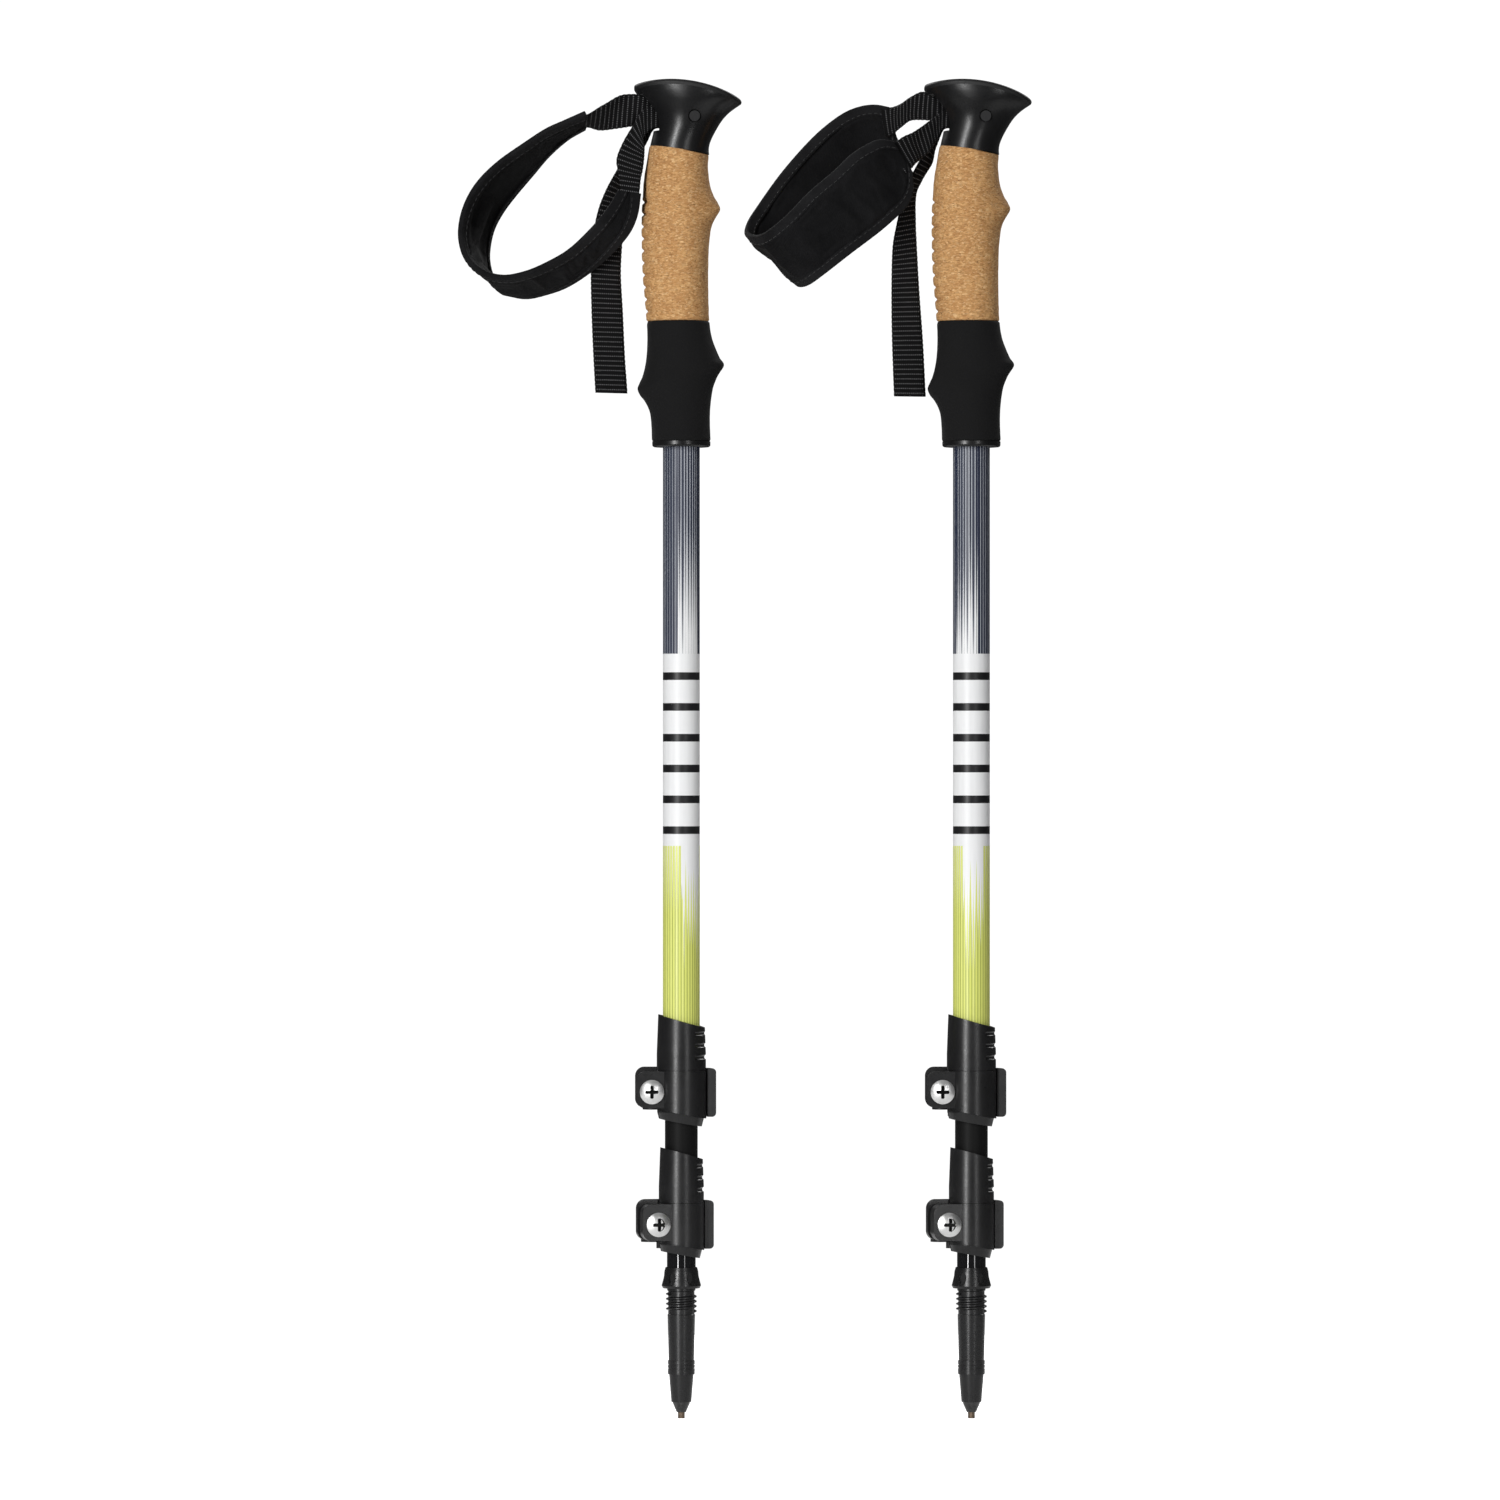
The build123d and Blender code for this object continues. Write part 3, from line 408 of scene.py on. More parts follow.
HEAD = moulded_plastic("head_plastic", (0.0045, 0.0045, 0.0048), (0.0085, 0.0085, 0.0090), 0.25, 0.36)
CAP = moulded_plastic("palm_cap_plastic", (0.0045, 0.0045, 0.0048), (0.0085, 0.0085, 0.0090), 0.50, 0.64)
CLAMP = moulded_plastic("clamp_plastic", (0.0060, 0.0060, 0.0063), (0.0110, 0.0110, 0.0116), 0.26, 0.40)
LEVER = moulded_plastic("lever_plastic", (0.0080, 0.0080, 0.0085), (0.0150, 0.0150, 0.0158), 0.34, 0.5)
TIP = moulded_plastic("tip_plastic", (0.0065, 0.0065, 0.0068), (0.0120, 0.0120, 0.0126), 0.22, 0.36)
NYLON = moulded_plastic("guide_nylon", (0.16, 0.16, 0.165), (0.22, 0.22, 0.225), 0.4, 0.6)
CORK = cork_finish()
FOAM = foam_finish()
WEBBING = webbing_finish()
PAD = knit_finish("pad_fabric", (0.0022, 0.0022, 0.0025), (0.0085, 0.0085, 0.0092), 0.0009)
BINDING = knit_finish("binding", (0.0045, 0.0045, 0.0050), (0.0150, 0.0150, 0.0160), 0.0006)
THREAD = thread_finish()
SATIN_TUBE = anodised("satin_black_tube", (0.0026, 0.0026, 0.0026), (0.0062, 0.0062, 0.0062),
                      0.50, 0.62, 0.12)
GLOSS_TUBE = anodised("gloss_black_tube", (0.004, 0.004, 0.0045), (0.010, 0.010, 0.011), 0.04, 0.07, 0.45)
# Lighter than the head's plastic: a painted highlight for the pin's bright centre.
PIN = moulded_plastic("pin_plastic", (0.022, 0.022, 0.0225), (0.040, 0.040, 0.041), 0.10, 0.16)
STEEL = turned_metal("barrel_steel", (0.36, 0.36, 0.37), (0.52, 0.52, 0.53), 0.25, 0.4)
DARK_STEEL = turned_metal("tip_steel", (0.03, 0.03, 0.03), (0.15, 0.15, 0.15), 0.18, 0.32)
CARBIDE = turned_metal("carbide", (0.11, 0.075, 0.050), (0.26, 0.20, 0.15), 0.3, 0.5)

SLOT_FINISH = {
    "head_plastic": HEAD, "cork": CORK, "foam": FOAM, "webbing": WEBBING, "pad_fabric": PAD,
    "satin_black_tube": SATIN_TUBE, "gloss_black_tube": GLOSS_TUBE, "guide_nylon": NYLON,
    "clamp_plastic": CLAMP, "lever_plastic": LEVER, "barrel_steel": STEEL,
    "tip_plastic": TIP, "tip_steel": DARK_STEEL, "carbide": CARBIDE,
}

# ---- CAD nodes ----------------------------------------------------------------------------------

BEVELLED = {  # width of the softened edges by the end of the node's name, in millimetres
    "palm_cap": 0.2, "strap_pin": 0.9, "clamp_band": 0.5, "clamp_lever": 0.6,
    "clamp_sleeve": 0.35, "screw": 0.18, "grip_end_ring": 0.3, "tip_holder": 0.15,
    "tip_body": 0.12, "grip_head": 0.3,
}
BEVEL_SEGMENTS = 3
BEVEL_ANGLE = math.radians(38)  # only edges sharper than this are softened


def dress_nodes():
    """Gives every CAD node its finish, and softens the edges of the moulded and turned ones."""
    slots = {entry["node"]: entry["material_slot"] for entry in frame["record"]["subparts"]}
    for name, piece in frame["nodes"].items():
        side = name.split("_")[0]
        slot = slots[name]
        if slot == "printed_tube":
            finish = printed_tube(side)
        elif slot == "screw_chrome":
            finish = screw_finish(name)
        elif name.endswith("strap_pin"):
            finish = PIN
        elif name.endswith("palm_cap"):
            finish = CAP
        else:
            finish = SLOT_FINISH[slot]
        piece.data.materials.clear()
        piece.data.materials.append(finish)
        for ending, width in BEVELLED.items():
            if name.endswith(ending):
                bevel = piece.modifiers.new("soft_edges", "BEVEL")
                bevel.width = width * MM
                bevel.segments = BEVEL_SEGMENTS
                bevel.limit_method = "ANGLE"
                bevel.angle_limit = BEVEL_ANGLE
                bevel.harden_normals = True


# ---- Mesh helpers -------------------------------------------------------------------------------


def spline(points, count):
    """Smooth curve through the points (Catmull-Rom), as count + 1 even steps of its parameter."""
    size = len(points[0])
    out = []
    spans = len(points) - 1
    for step in range(count + 1):
        place = spans * step / count
        index = min(int(place), spans - 1)
        t = place - index
        p1, p2 = points[index], points[index + 1]
        p0 = points[index - 1] if index > 0 else [2 * a - b for a, b in zip(p1, p2)]
        p3 = points[index + 2] if index + 2 <= spans else [2 * b - a for a, b in zip(p1, p2)]
        out.append([
            0.5 * (2 * p1[k] + (p2[k] - p0[k]) * t
                   + (2 * p0[k] - 5 * p1[k] + 4 * p2[k] - p3[k]) * t * t
                   + (3 * p1[k] - p0[k] - 3 * p2[k] + p3[k]) * t ** 3)
            for k in range(size)])
    return out


FINE_STEPS = 24  # to each station, before a curve is cut into even steps


def even_spline(points, count):
    """The same curve in steps of equal length along its middle."""
    fine = spline(points, len(points) * FINE_STEPS)
    width = len(points[0]) // 2
    middles = [Vector([(p[k] + p[k + width]) / 2 for k in range(3)]) for p in fine]
    lengths = [0.0]
    for a, b in zip(middles, middles[1:]):
        lengths.append(lengths[-1] + (b - a).length)
    out = []
    index = 0
    for step in range(count + 1):
        want = lengths[-1] * step / count
        while index < len(fine) - 2 and lengths[index + 1] < want:
            index += 1
        t = (want - lengths[index]) / max(lengths[index + 1] - lengths[index], 1e-9)
        out.append([a + (b - a) * t for a, b in zip(fine[index], fine[index + 1])])
    return out, lengths[-1]


def make(name, points, faces, finish, side, uvs=None):
    """A mesh piece from points in millimetres from the pole's axis."""
    mesh = bpy.data.meshes.new(name)
    shift = Vector((AXIS_X[side], 0, 0))
    mesh.from_pydata([Vector(p) * MM + shift for p in points], [], faces)
    if uvs:
        layer = mesh.uv_layers.new(name="UVMap")
        for loop in mesh.loops:
            layer.data[loop.index].uv = uvs[loop.vertex_index]
    mesh.polygons.foreach_set("use_smooth", [True] * len(mesh.polygons))
    mesh.materials.append(finish)
    mesh.validate()
    piece = bpy.data.objects.new(name, mesh)
    bpy.context.scene.collection.objects.link(piece)
    return piece


def grid_faces(rows, columns, closed_columns=False):
    faces = []
    for i in range(rows - 1):
        for j in range(columns if closed_columns else columns - 1):
            k = (j + 1) % columns
            faces.append((i * columns + j, i * columns + k, (i + 1) * columns + k, (i + 1) * columns + j))
    return faces


def smooth_step(low, high, value):
    t = min(max((value - low) / (high - low), 0.0), 1.0)
    return t * t * (3 - 2 * t)


# ---- Cork and foam ------------------------------------------------------------------------------
# A station is z and x at the back, z and x at the front, and the half depth.

CORK_STATIONS = [
    (535.0, -17.0, 535.0, 13.6, 14.5),
    (545.0, -17.8, 545.0, 13.3, 14.7),
    (558.0, -18.9, 558.0, 13.1, 14.9),
    (571.0, -19.3, 571.5, 13.5, 15.0),
    (579.5, -19.4, 580.5, 14.6, 15.1),
    (584.0, -19.4, 584.8, 16.4, 15.1),
    (588.5, -19.3, 589.5, 18.9, 15.2),
    (592.5, -19.1, 592.8, 17.7, 15.1),
    (597.0, -18.8, 596.5, 15.7, 15.0),
    (603.0, -18.4, 601.5, 14.0, 14.8),
    (612.0, -17.0, 609.0, 13.1, 14.5),
    (620.6, -15.5, 616.3, 13.3, 14.3),
]
FOAM_STATIONS = [
    (476.4, -14.4, 476.4, 14.3, 14.4),
    (484.0, -14.6, 484.0, 14.0, 14.4),
    (490.5, -15.4, 492.0, 14.1, 14.6),
    (495.6, -17.6, 501.5, 15.3, 15.0),
    (499.0, -20.2, 508.0, 17.6, 15.5),
    (502.0, -21.4, 513.5, 20.8, 16.0),
    (504.8, -20.4, 517.0, 18.9, 15.8),
    (509.0, -18.7, 520.5, 17.3, 15.3),
    (516.0, -17.2, 525.5, 15.4, 14.9),
    (525.0, -16.6, 530.0, 14.3, 14.6),
    (534.9, -16.8, 534.9, 13.7, 14.5),
]
SLEEVE_BORE = 10.75
END_ROLL, ROLL_ROWS = 0.55, 2.5  # how far a sleeve's ends turn in, and over how many rows
CORK_FRONT = 13.2  # the cork's front away from its finger ridge
CORK_RELIEF, FOAM_RELIEF = 0.14, 0.06  # how uneven each sleeve's outside is
RIB_LOW_Z, RIB_PITCH, RIB_COUNT, RIB_DEPTH = 539.8, 5.91, 9, 1.1


def cork_ribs(z, back):
    """Depth of the grooves that part the ribs down the back of the cork."""
    place = (z - RIB_LOW_Z) / RIB_PITCH
    if place < -0.3 or place > RIB_COUNT + 0.3 or back <= 0.6:
        return 0.0
    groove = (0.5 + 0.5 * math.cos(math.tau * place)) ** 5.0
    return RIB_DEPTH * groove * smooth_step(0.60, 0.97, back)


def sleeve(name, side, stations, finish, around, along, relief, ribs=None, local_front=None):
    """A hand grip: outside through its stations, rolled ends, and the bore inside."""
    rows = spline(stations, along)
    points = []
    for row, (back_z, back_x, front_z, front_x, depth) in enumerate(rows):
        end = min(row, along - row)
        roll = END_ROLL * (1 - min(end / ROLL_ROWS, 1.0)) ** 2
        for step in range(around):
            angle = math.tau * step / around
            c, s = math.cos(angle), math.sin(angle)
            front = (1 + c) / 2
            z = back_z + (front_z - back_z) * (front * front * (3 - 2 * front))
            if c >= 0:
                reach = front_x if local_front is None else local_front + (front_x - local_front) * c ** 2
            else:
                reach = -back_x
            x, y = reach * c, depth * s
            length = math.hypot(x, y)
            cut = roll + (ribs(z, -c) if ribs else 0.0)
            rough = relief * noise.noise(Vector((x, y, z)) * 0.35 + Vector((7, 3, 1)))
            scale = (length - cut + rough) / length
            points.append((x * scale, y * scale, z))
    rows_made = along + 1
    for back_z, _, front_z, _, _ in (rows[-1], rows[0]):
        for step in range(around):
            angle = math.tau * step / around
            front = (1 + math.cos(angle)) / 2
            z = back_z + (front_z - back_z) * (front * front * (3 - 2 * front))
            points.append((SLEEVE_BORE * math.cos(angle), SLEEVE_BORE * math.sin(angle), z))
    faces = grid_faces(rows_made + 2, around, closed_columns=True)
    last = (rows_made + 1) * around
    faces += [(last + j, last + (j + 1) % around, (j + 1) % around, j) for j in range(around)]
    return make(name, points, faces, finish, side)


def make_grips(side):
    around, along = ((160, 300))
    cork = sleeve(f"{side}_cork_sleeve", side, CORK_STATIONS, CORK, around, along, CORK_RELIEF,
                  ribs=cork_ribs, local_front=CORK_FRONT)
    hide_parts(f"{side}_cork_grip")
    foam = sleeve(f"{side}_foam_sleeve", side, FOAM_STATIONS, FOAM, around, along // 2, FOAM_RELIEF)
    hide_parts(f"{side}_foam_grip")
    for piece in (cork, foam):
        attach(piece, f"{side}_upper")


# ---- Webbing ------------------------------------------------------------------------------------
# A station is the two edges of the band, x y z and x y z, from the pole's axis.

WEB_THICK = 1.3
WEB_ACROSS = 12  # quads across each face of the band
UPPER_LEG = {
    "left": [
        (-9.5, -1.5, 641.5, -9.5, -0.5, 630.0),
        (-14.0, -2.5, 643.8, -14.5, -1.0, 630.2),
        (-19.2, -4.0, 645.2, -20.8, 0.5, 630.4),
        (-25.7, -2.5, 645.7, -27.0, -1.5, 629.5),
        (-31.4, -5.0, 644.4, -33.0, 2.5, 628.8),
        (-38.2, -7.2, 640.0, -40.0, 5.0, 628.7),
        (-44.0, -8.4, 636.0, -45.8, 6.2, 630.2),
        (-49.5, -9.0, 634.0, -50.5, 6.5, 629.2),
    ],
    "right": [
        (-9.5, -2.0, 641.0, -9.5, -1.0, 630.5),
        (-13.5, -3.0, 643.0, -13.5, -1.0, 631.5),
        (-18.6, -4.5, 644.6, -19.0, 0.0, 632.8),
        (-24.0, -3.0, 646.8, -25.0, 1.5, 633.2),
        (-29.5, 0.5, 644.6, -30.0, 5.0, 633.0),
        (-34.0, 5.5, 641.8, -33.5, 8.5, 630.5),
        (-39.0, 10.5, 640.2, -37.5, 12.0, 627.5),
        (-44.0, 12.0, 640.0, -41.5, 13.5, 625.5),
    ],
}
LOWER_LEG = {
    "left": [
        (-9.5, -5.0, 640.0, -9.5, -5.2, 629.0),
        (-14.0, -5.5, 640.0, -14.0, -5.8, 628.6),
        (-19.2, -6.5, 637.0, -18.0, -6.5, 624.5),
        (-24.0, -6.0, 629.6, -17.8, -8.5, 619.5),
        (-29.0, -8.5, 620.5, -17.9, -8.0, 615.0),
        (-31.5, -10.0, 613.0, -18.6, -9.5, 608.5),
        (-30.3, -11.0, 605.6, -19.6, -11.0, 603.5),
        (-29.4, -12.0, 599.0, -20.2, -12.3, 597.6),
        (-30.4, -12.4, 593.5, -21.8, -12.0, 591.0),
    ],
    "right": [
        (-9.5, -5.5, 638.0, -9.5, -5.5, 629.0),
        (-14.0, -5.8, 637.0, -14.2, -5.8, 628.6),
        (-18.6, -7.5, 633.8, -17.0, -7.0, 622.8),
        (-24.1, -10.0, 629.6, -20.5, -11.5, 617.0),
        (-29.0, -13.8, 626.2, -24.8, -13.0, 613.2),
        (-33.4, -16.8, 624.0, -27.5, -16.5, 610.8),
        (-37.6, -19.2, 621.2, -29.8, -18.2, 608.0),
        (-42.5, -21.2, 619.5, -33.5, -18.5, 605.0),
    ],
}
TAIL = {
    "left": [
        (-9.5, 5.8, 636.0, -9.5, 6.0, 629.6),
        (-13.5, 5.4, 633.6, -13.5, 6.4, 628.8),
        (-18.0, 3.8, 628.0, -17.5, 9.4, 622.0),
        (-25.0, 3.4, 619.5, -21.5, 11.6, 613.5),
        (-31.4, 4.4, 609.5, -25.0, 12.6, 604.5),
        (-36.9, 6.0, 599.5, -27.2, 12.6, 596.0),
        (-40.6, 7.4, 590.2, -28.2, 12.0, 587.5),
        (-43.2, 8.4, 578.0, -28.8, 11.2, 576.0),
        (-44.3, 9.0, 560.0, -29.6, 10.2, 559.0),
        (-44.0, 9.2, 540.0, -28.6, 9.6, 539.5),
        (-43.2, 9.0, 520.0, -27.7, 9.2, 519.6),
        (-42.1, 8.5, 500.6, -26.4, 8.6, 500.2),
    ],
    "right": [
        (-9.5, 5.8, 636.0, -9.5, 6.0, 629.6),
        (-13.5, 5.4, 632.6, -13.5, 6.4, 628.6),
        (-18.2, 3.6, 625.0, -17.2, 9.2, 620.5),
        (-24.0, 4.4, 616.0, -18.8, 10.8, 613.0),
        (-29.5, 5.6, 606.0, -23.8, 11.6, 604.2),
        (-33.0, 6.6, 596.0, -26.6, 11.8, 597.0),
        (-36.4, 7.4, 583.0, -26.8, 11.2, 585.0),
        (-38.4, 8.2, 571.0, -26.4, 10.6, 573.0),
        (-38.9, 9.0, 550.0, -25.2, 9.8, 550.5),
        (-38.6, 9.0, 525.0, -23.4, 9.2, 525.2),
        (-37.6, 8.5, 498.8, -22.1, 8.6, 498.6),
    ],
}


def ribbon(name, side, stations, cup=0.0, ripple=0.0, seed=0.0):
    """Webbing through its stations: rounded selvedges, crosswise cords, and a slight ripple."""
    _, length = even_spline(stations, 8)
    steps = int(length / (CORD_PITCH / 6))
    rows, length = even_spline(stations, steps)
    sides = 2 * WEB_ACROSS
    points, uvs = [], []
    for index, row in enumerate(rows):
        a, b = Vector(row[:3]), Vector(row[3:])
        before, after = rows[max(index - 1, 0)], rows[min(index + 1, steps)]
        run = Vector(after[:3]) + Vector(after[3:]) - Vector(before[:3]) - Vector(before[3:])
        run.normalize()
        width = (b - a).length
        normal = run.cross(b - a).normalized()
        along = length * index / steps
        rib = 0.5 + 0.5 * math.sin(math.tau * along / CORD_PITCH)
        for step in range(sides):
            face = 1 if step < WEB_ACROSS else -1
            place = (step if face > 0 else sides - step) / WEB_ACROSS
            v = 2 * place - 1
            half = WEB_THICK / 2 * (1 - abs(v) ** 6) ** 0.5 if abs(v) < 1 else 0.0
            wave = ripple * noise.noise(Vector((along * 0.11, v * 0.9, seed)))
            bow = cup * (1 - v * v) + wave
            lift = half * (0.82 + 0.18 * rib) * face
            edge = width * (place + 0.006 * math.sin(math.tau * along / CORD_PITCH) * v)
            points.append(a + (b - a).normalized() * edge + normal * (bow + lift))
            uvs.append((width * place, along))
    faces = grid_faces(steps + 1, sides, closed_columns=True)
    faces.append(tuple(reversed(range(sides))))
    faces.append(tuple(steps * sides + j for j in range(sides)))
    return make(name, points, faces, WEBBING, side, uvs)


HEM_START = 0.5  # of the way from the tail's last station but one to its end


def hem(side):
    """The folded end of the tail, a second layer sewn on its back."""
    low, high = TAIL[side][-2], TAIL[side][-1]
    start = [a + (b - a) * HEM_START for a, b in zip(low, high)]
    back = (0, WEB_THICK + 0.05, 0, 0, WEB_THICK + 0.05, 0)
    layer = [[a + b for a, b in zip(row, back)] for row in (start, high)]
    middle = [(a + b) / 2 for a, b in zip(*layer)]
    return ribbon(f"{side}_tail_hem", side, [layer[0], middle, layer[1]])


def fold(side):
    """The webbing inside the head: in over the pin, round it, and out below it."""
    pin_low, pin_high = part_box(f"{side}_strap_pin")
    low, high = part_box(f"{side}_strap_fold")
    pin_x = ((pin_low[0] + pin_high[0]) / 2 - AXIS_X[side]) / MM
    pin_z = (pin_low[2] + pin_high[2]) / 2 / MM
    mouth_x = (low[0] - AXIS_X[side]) / MM
    turn_r = (high[2] - low[2]) / 2 / MM - WEB_THICK / 2
    path = [(mouth_x, pin_z + turn_r), ((mouth_x + pin_x) / 2, pin_z + turn_r)]
    turns = 6
    for step in range(turns + 1):
        angle = math.pi / 2 - math.pi * step / turns
        path.append((pin_x + turn_r * math.cos(angle), pin_z + turn_r * math.sin(angle)))
    path += [((mouth_x + pin_x) / 2, pin_z - turn_r), (mouth_x, pin_z - turn_r)]
    half = (high[1] - low[1]) / 2 / MM
    stations = [(x, -half, z, x, half, z) for x, z in path]
    return ribbon(f"{side}_webbing_fold", side, stations)


def make_webbing(side):
    pieces = {
        "upper": ribbon(f"{side}_webbing_upper", side, UPPER_LEG[side], cup=0.5, ripple=0.9, seed=1.3),
        "lower": ribbon(f"{side}_webbing_lower", side, LOWER_LEG[side], cup=-0.5, ripple=0.8, seed=4.7),
        "tail": ribbon(f"{side}_webbing_tail", side, TAIL[side], cup=0.35, ripple=0.35, seed=8.1),
    }
    replaced = {"upper": "strap_upper_leg", "lower": "strap_lower_leg", "tail": "strap_tail"}
    for key, piece in pieces.items():
        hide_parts(f"{side}_{replaced[key]}")
        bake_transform(piece)
    inside = fold(side)
    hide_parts(f"{side}_strap_fold")
    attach(inside, f"{side}_upper")
    end = hem(side)
    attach(end, f"{side}_strap")
    sew_tail(side)


# ---- Wrist pads ---------------------------------------------------------------------------------

PAD_STATIONS = {
    "left": [
        (-46.5, -9.0, 635.8, -47.3, 6.5, 629.8),
        (-56.7, -12.6, 631.0, -56.0, 10.0, 625.0),
        (-65.5, -14.8, 626.8, -65.0, 13.0, 617.4),
        (-75.5, -16.0, 620.2, -73.0, 15.0, 608.3),
        (-88.0, -16.4, 611.4, -82.6, 16.0, 597.0),
        (-97.2, -16.5, 602.6, -88.6, 16.2, 588.8),
        (-103.0, -16.5, 593.8, -92.6, 16.2, 581.0),
        (-106.4, -16.5, 584.0, -94.6, 16.2, 572.6),
        (-107.0, -16.5, 574.0, -94.8, 16.2, 564.4),
        (-103.8, -16.4, 564.4, -92.2, 16.0, 556.2),
        (-96.0, -16.2, 557.8, -85.5, 15.6, 550.2),
        (-86.0, -16.0, 555.6, -76.5, 14.6, 547.8),
        (-75.3, -15.6, 557.6, -66.5, 12.8, 549.6),
        (-65.0, -14.8, 562.0, -56.0, 9.4, 553.2),
        (-54.3, -13.6, 568.4, -44.6, 4.6, 560.2),
        (-44.6, -12.8, 577.6, -33.6, -1.6, 569.4),
        (-37.6, -12.4, 585.8, -26.0, -6.8, 577.6),
        (-33.0, -12.3, 592.4, -21.9, -10.4, 586.2),
        (-29.8, -12.4, 598.2, -20.3, -12.4, 596.6),
    ],
    "right": [
        (-38.2, -19.6, 620.9, -29.4, -17.8, 607.4),
        (-45.0, -22.0, 621.4, -29.2, -15.2, 597.8),
        (-51.5, -23.6, 618.6, -32.4, -14.9, 590.6),
        (-58.5, -24.6, 614.0, -38.6, -15.6, 584.4),
        (-67.0, -25.0, 605.9, -47.0, -16.5, 577.2),
        (-78.7, -24.2, 596.0, -59.4, -15.6, 567.9),
        (-91.4, -20.4, 583.4, -71.6, -11.8, 558.6),
        (-102.0, -13.0, 576.0, -79.8, -5.6, 553.2),
        (-109.0, -3.0, 577.0, -84.6, 3.4, 553.6),
        (-108.6, 5.4, 583.2, -84.8, 12.0, 559.4),
        (-102.6, 10.6, 593.0, -79.6, 18.0, 569.0),
        (-93.0, 13.2, 606.6, -70.4, 21.0, 582.0),
        (-82.6, 15.0, 619.0, -60.6, 23.0, 594.4),
        (-72.9, 16.0, 628.8, -51.2, 23.8, 604.0),
        (-62.6, 16.0, 636.6, -42.8, 23.0, 612.0),
        (-54.4, 14.8, 640.0, -37.6, 20.8, 617.6),
        (-47.0, 13.4, 640.9, -35.8, 17.0, 623.0),
        (-40.2, 12.0, 639.6, -37.2, 14.4, 625.8),
    ],
}
PAD_HALF = 1.75
PAD_END = 0.03  # share of the pad's length over which each end thins down
EDGE_HALF = 0.75
TAPE_OUT, TAPE_IN, TAPE_RISE = 0.62, 0.15, 0.45  # the binding's faces over the pad's edge
TAPE_PAST = 0.9  # how far its fold stands out past that edge
TAPE_PUCKER = 3.1  # from one pucker to the next
BINDING_WIDTH = 4.4


class PadShape:
    """The pad's middle surface. A frame is a point on the first edge, the directions across and out
    of the band, and its width."""

    def __init__(self, side, steps):
        self.rows, self.length = even_spline(PAD_STATIONS[side], steps)
        self.steps = steps
        self.frames = []
        for index, row in enumerate(self.rows):
            a, b = Vector(row[:3]), Vector(row[3:])
            before, after = self.rows[max(index - 1, 0)], self.rows[min(index + 1, steps)]
            run = Vector(after[:3]) + Vector(after[3:]) - Vector(before[:3]) - Vector(before[3:])
            run.normalize()
            across = (b - a).normalized()
            self.frames.append((a, across, run.cross(across).normalized(), (b - a).length))

    def point(self, index, inward, lift):
        """A point inward millimetres from the first edge, or from the second if negative."""
        a, across, normal, width = self.frames[index]
        place = inward if inward >= 0 else width + inward
        return a + across * place + normal * lift


def pad_body(side):
    """Padded band, blown up by cloth simulation between its sewn edges."""
    steps, across = ((220, 22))
    shape = PadShape(side, steps)
    sides = 2 * across
    points, weights, uvs = [], [], []
    for index, (a, direction, normal, width) in enumerate(shape.frames):
        end = min(index, steps - index) / (steps * PAD_END)
        for step in range(sides):
            face = 1 if step < across else -1
            place = (step if face > 0 else sides - step) / across
            v = abs(2 * place - 1)
            inward = width * (1 - v) / 2
            seam = smooth_step(BINDING_WIDTH * 0.3, BINDING_WIDTH * 1.5, inward)
            half = EDGE_HALF * min(1.0, (inward + 0.001) ** 0.5) + (PAD_HALF - EDGE_HALF) * seam
            half *= 0.55 + 0.45 * min(end, 1.0)
            points.append(a + direction * width * place + normal * half * face)
            weights.append(1.0 if inward < BINDING_WIDTH or end < 1.0 else 0.0)
            uvs.append((width * place, shape.length * index / steps))
    faces = grid_faces(steps + 1, sides, closed_columns=True)
    faces.append(tuple(reversed(range(sides))))
    faces.append(tuple(steps * sides + j for j in range(sides)))
    pad = make(f"{side}_wrist_pad_cloth", points, faces, PAD, side, uvs)
    blow_up(pad, weights)
    wrinkle(pad, side)
    return pad


CLOTH_FRAMES = 20
SWELL_CAP = 1.3 * MM  # how far the cloth may carry a point


def blow_up(pad, weights):
    """Cloth simulation: the sewn edges stay, the middle swells and puckers, within a cap."""
    rest = [vertex.co.copy() for vertex in pad.data.vertices]
    group = pad.vertex_groups.new(name="sewn")
    for index, weight in enumerate(weights):
        if weight > 0:
            group.add([index], weight, "REPLACE")
    cloth = pad.modifiers.new("cloth", "CLOTH")
    settings = cloth.settings
    settings.quality = 4
    settings.mass = 0.02
    settings.tension_stiffness = settings.compression_stiffness = 12
    settings.shear_stiffness = 6
    settings.bending_stiffness = 0.02
    settings.use_pressure = True
    settings.uniform_pressure_force = 4.0
    settings.shrink_min = -0.05  # a little loose, so that it puckers between its stitches
    settings.vertex_group_mass = "sewn"
    settings.pin_stiffness = 1.0
    settings.effector_weights.gravity = 0.0
    cloth.collision_settings.use_collision = False
    cloth.point_cache.frame_start = 1
    cloth.point_cache.frame_end = CLOTH_FRAMES
    scene = bpy.context.scene
    for number in range(1, CLOTH_FRAMES + 1):
        scene.frame_set(number)
    settled = pad.evaluated_get(bpy.context.evaluated_depsgraph_get())
    shaped = [vertex.co.copy() for vertex in settled.data.vertices]
    pad.modifiers.remove(cloth)
    for vertex, before, after in zip(pad.data.vertices, rest, shaped):
        move = after - before
        if move.length > SWELL_CAP:
            move *= SWELL_CAP / move.length
        vertex.co = before + move
    scene.frame_set(1)


SLOW_LIFT, CREASE_LIFT = 0.35, 0.40


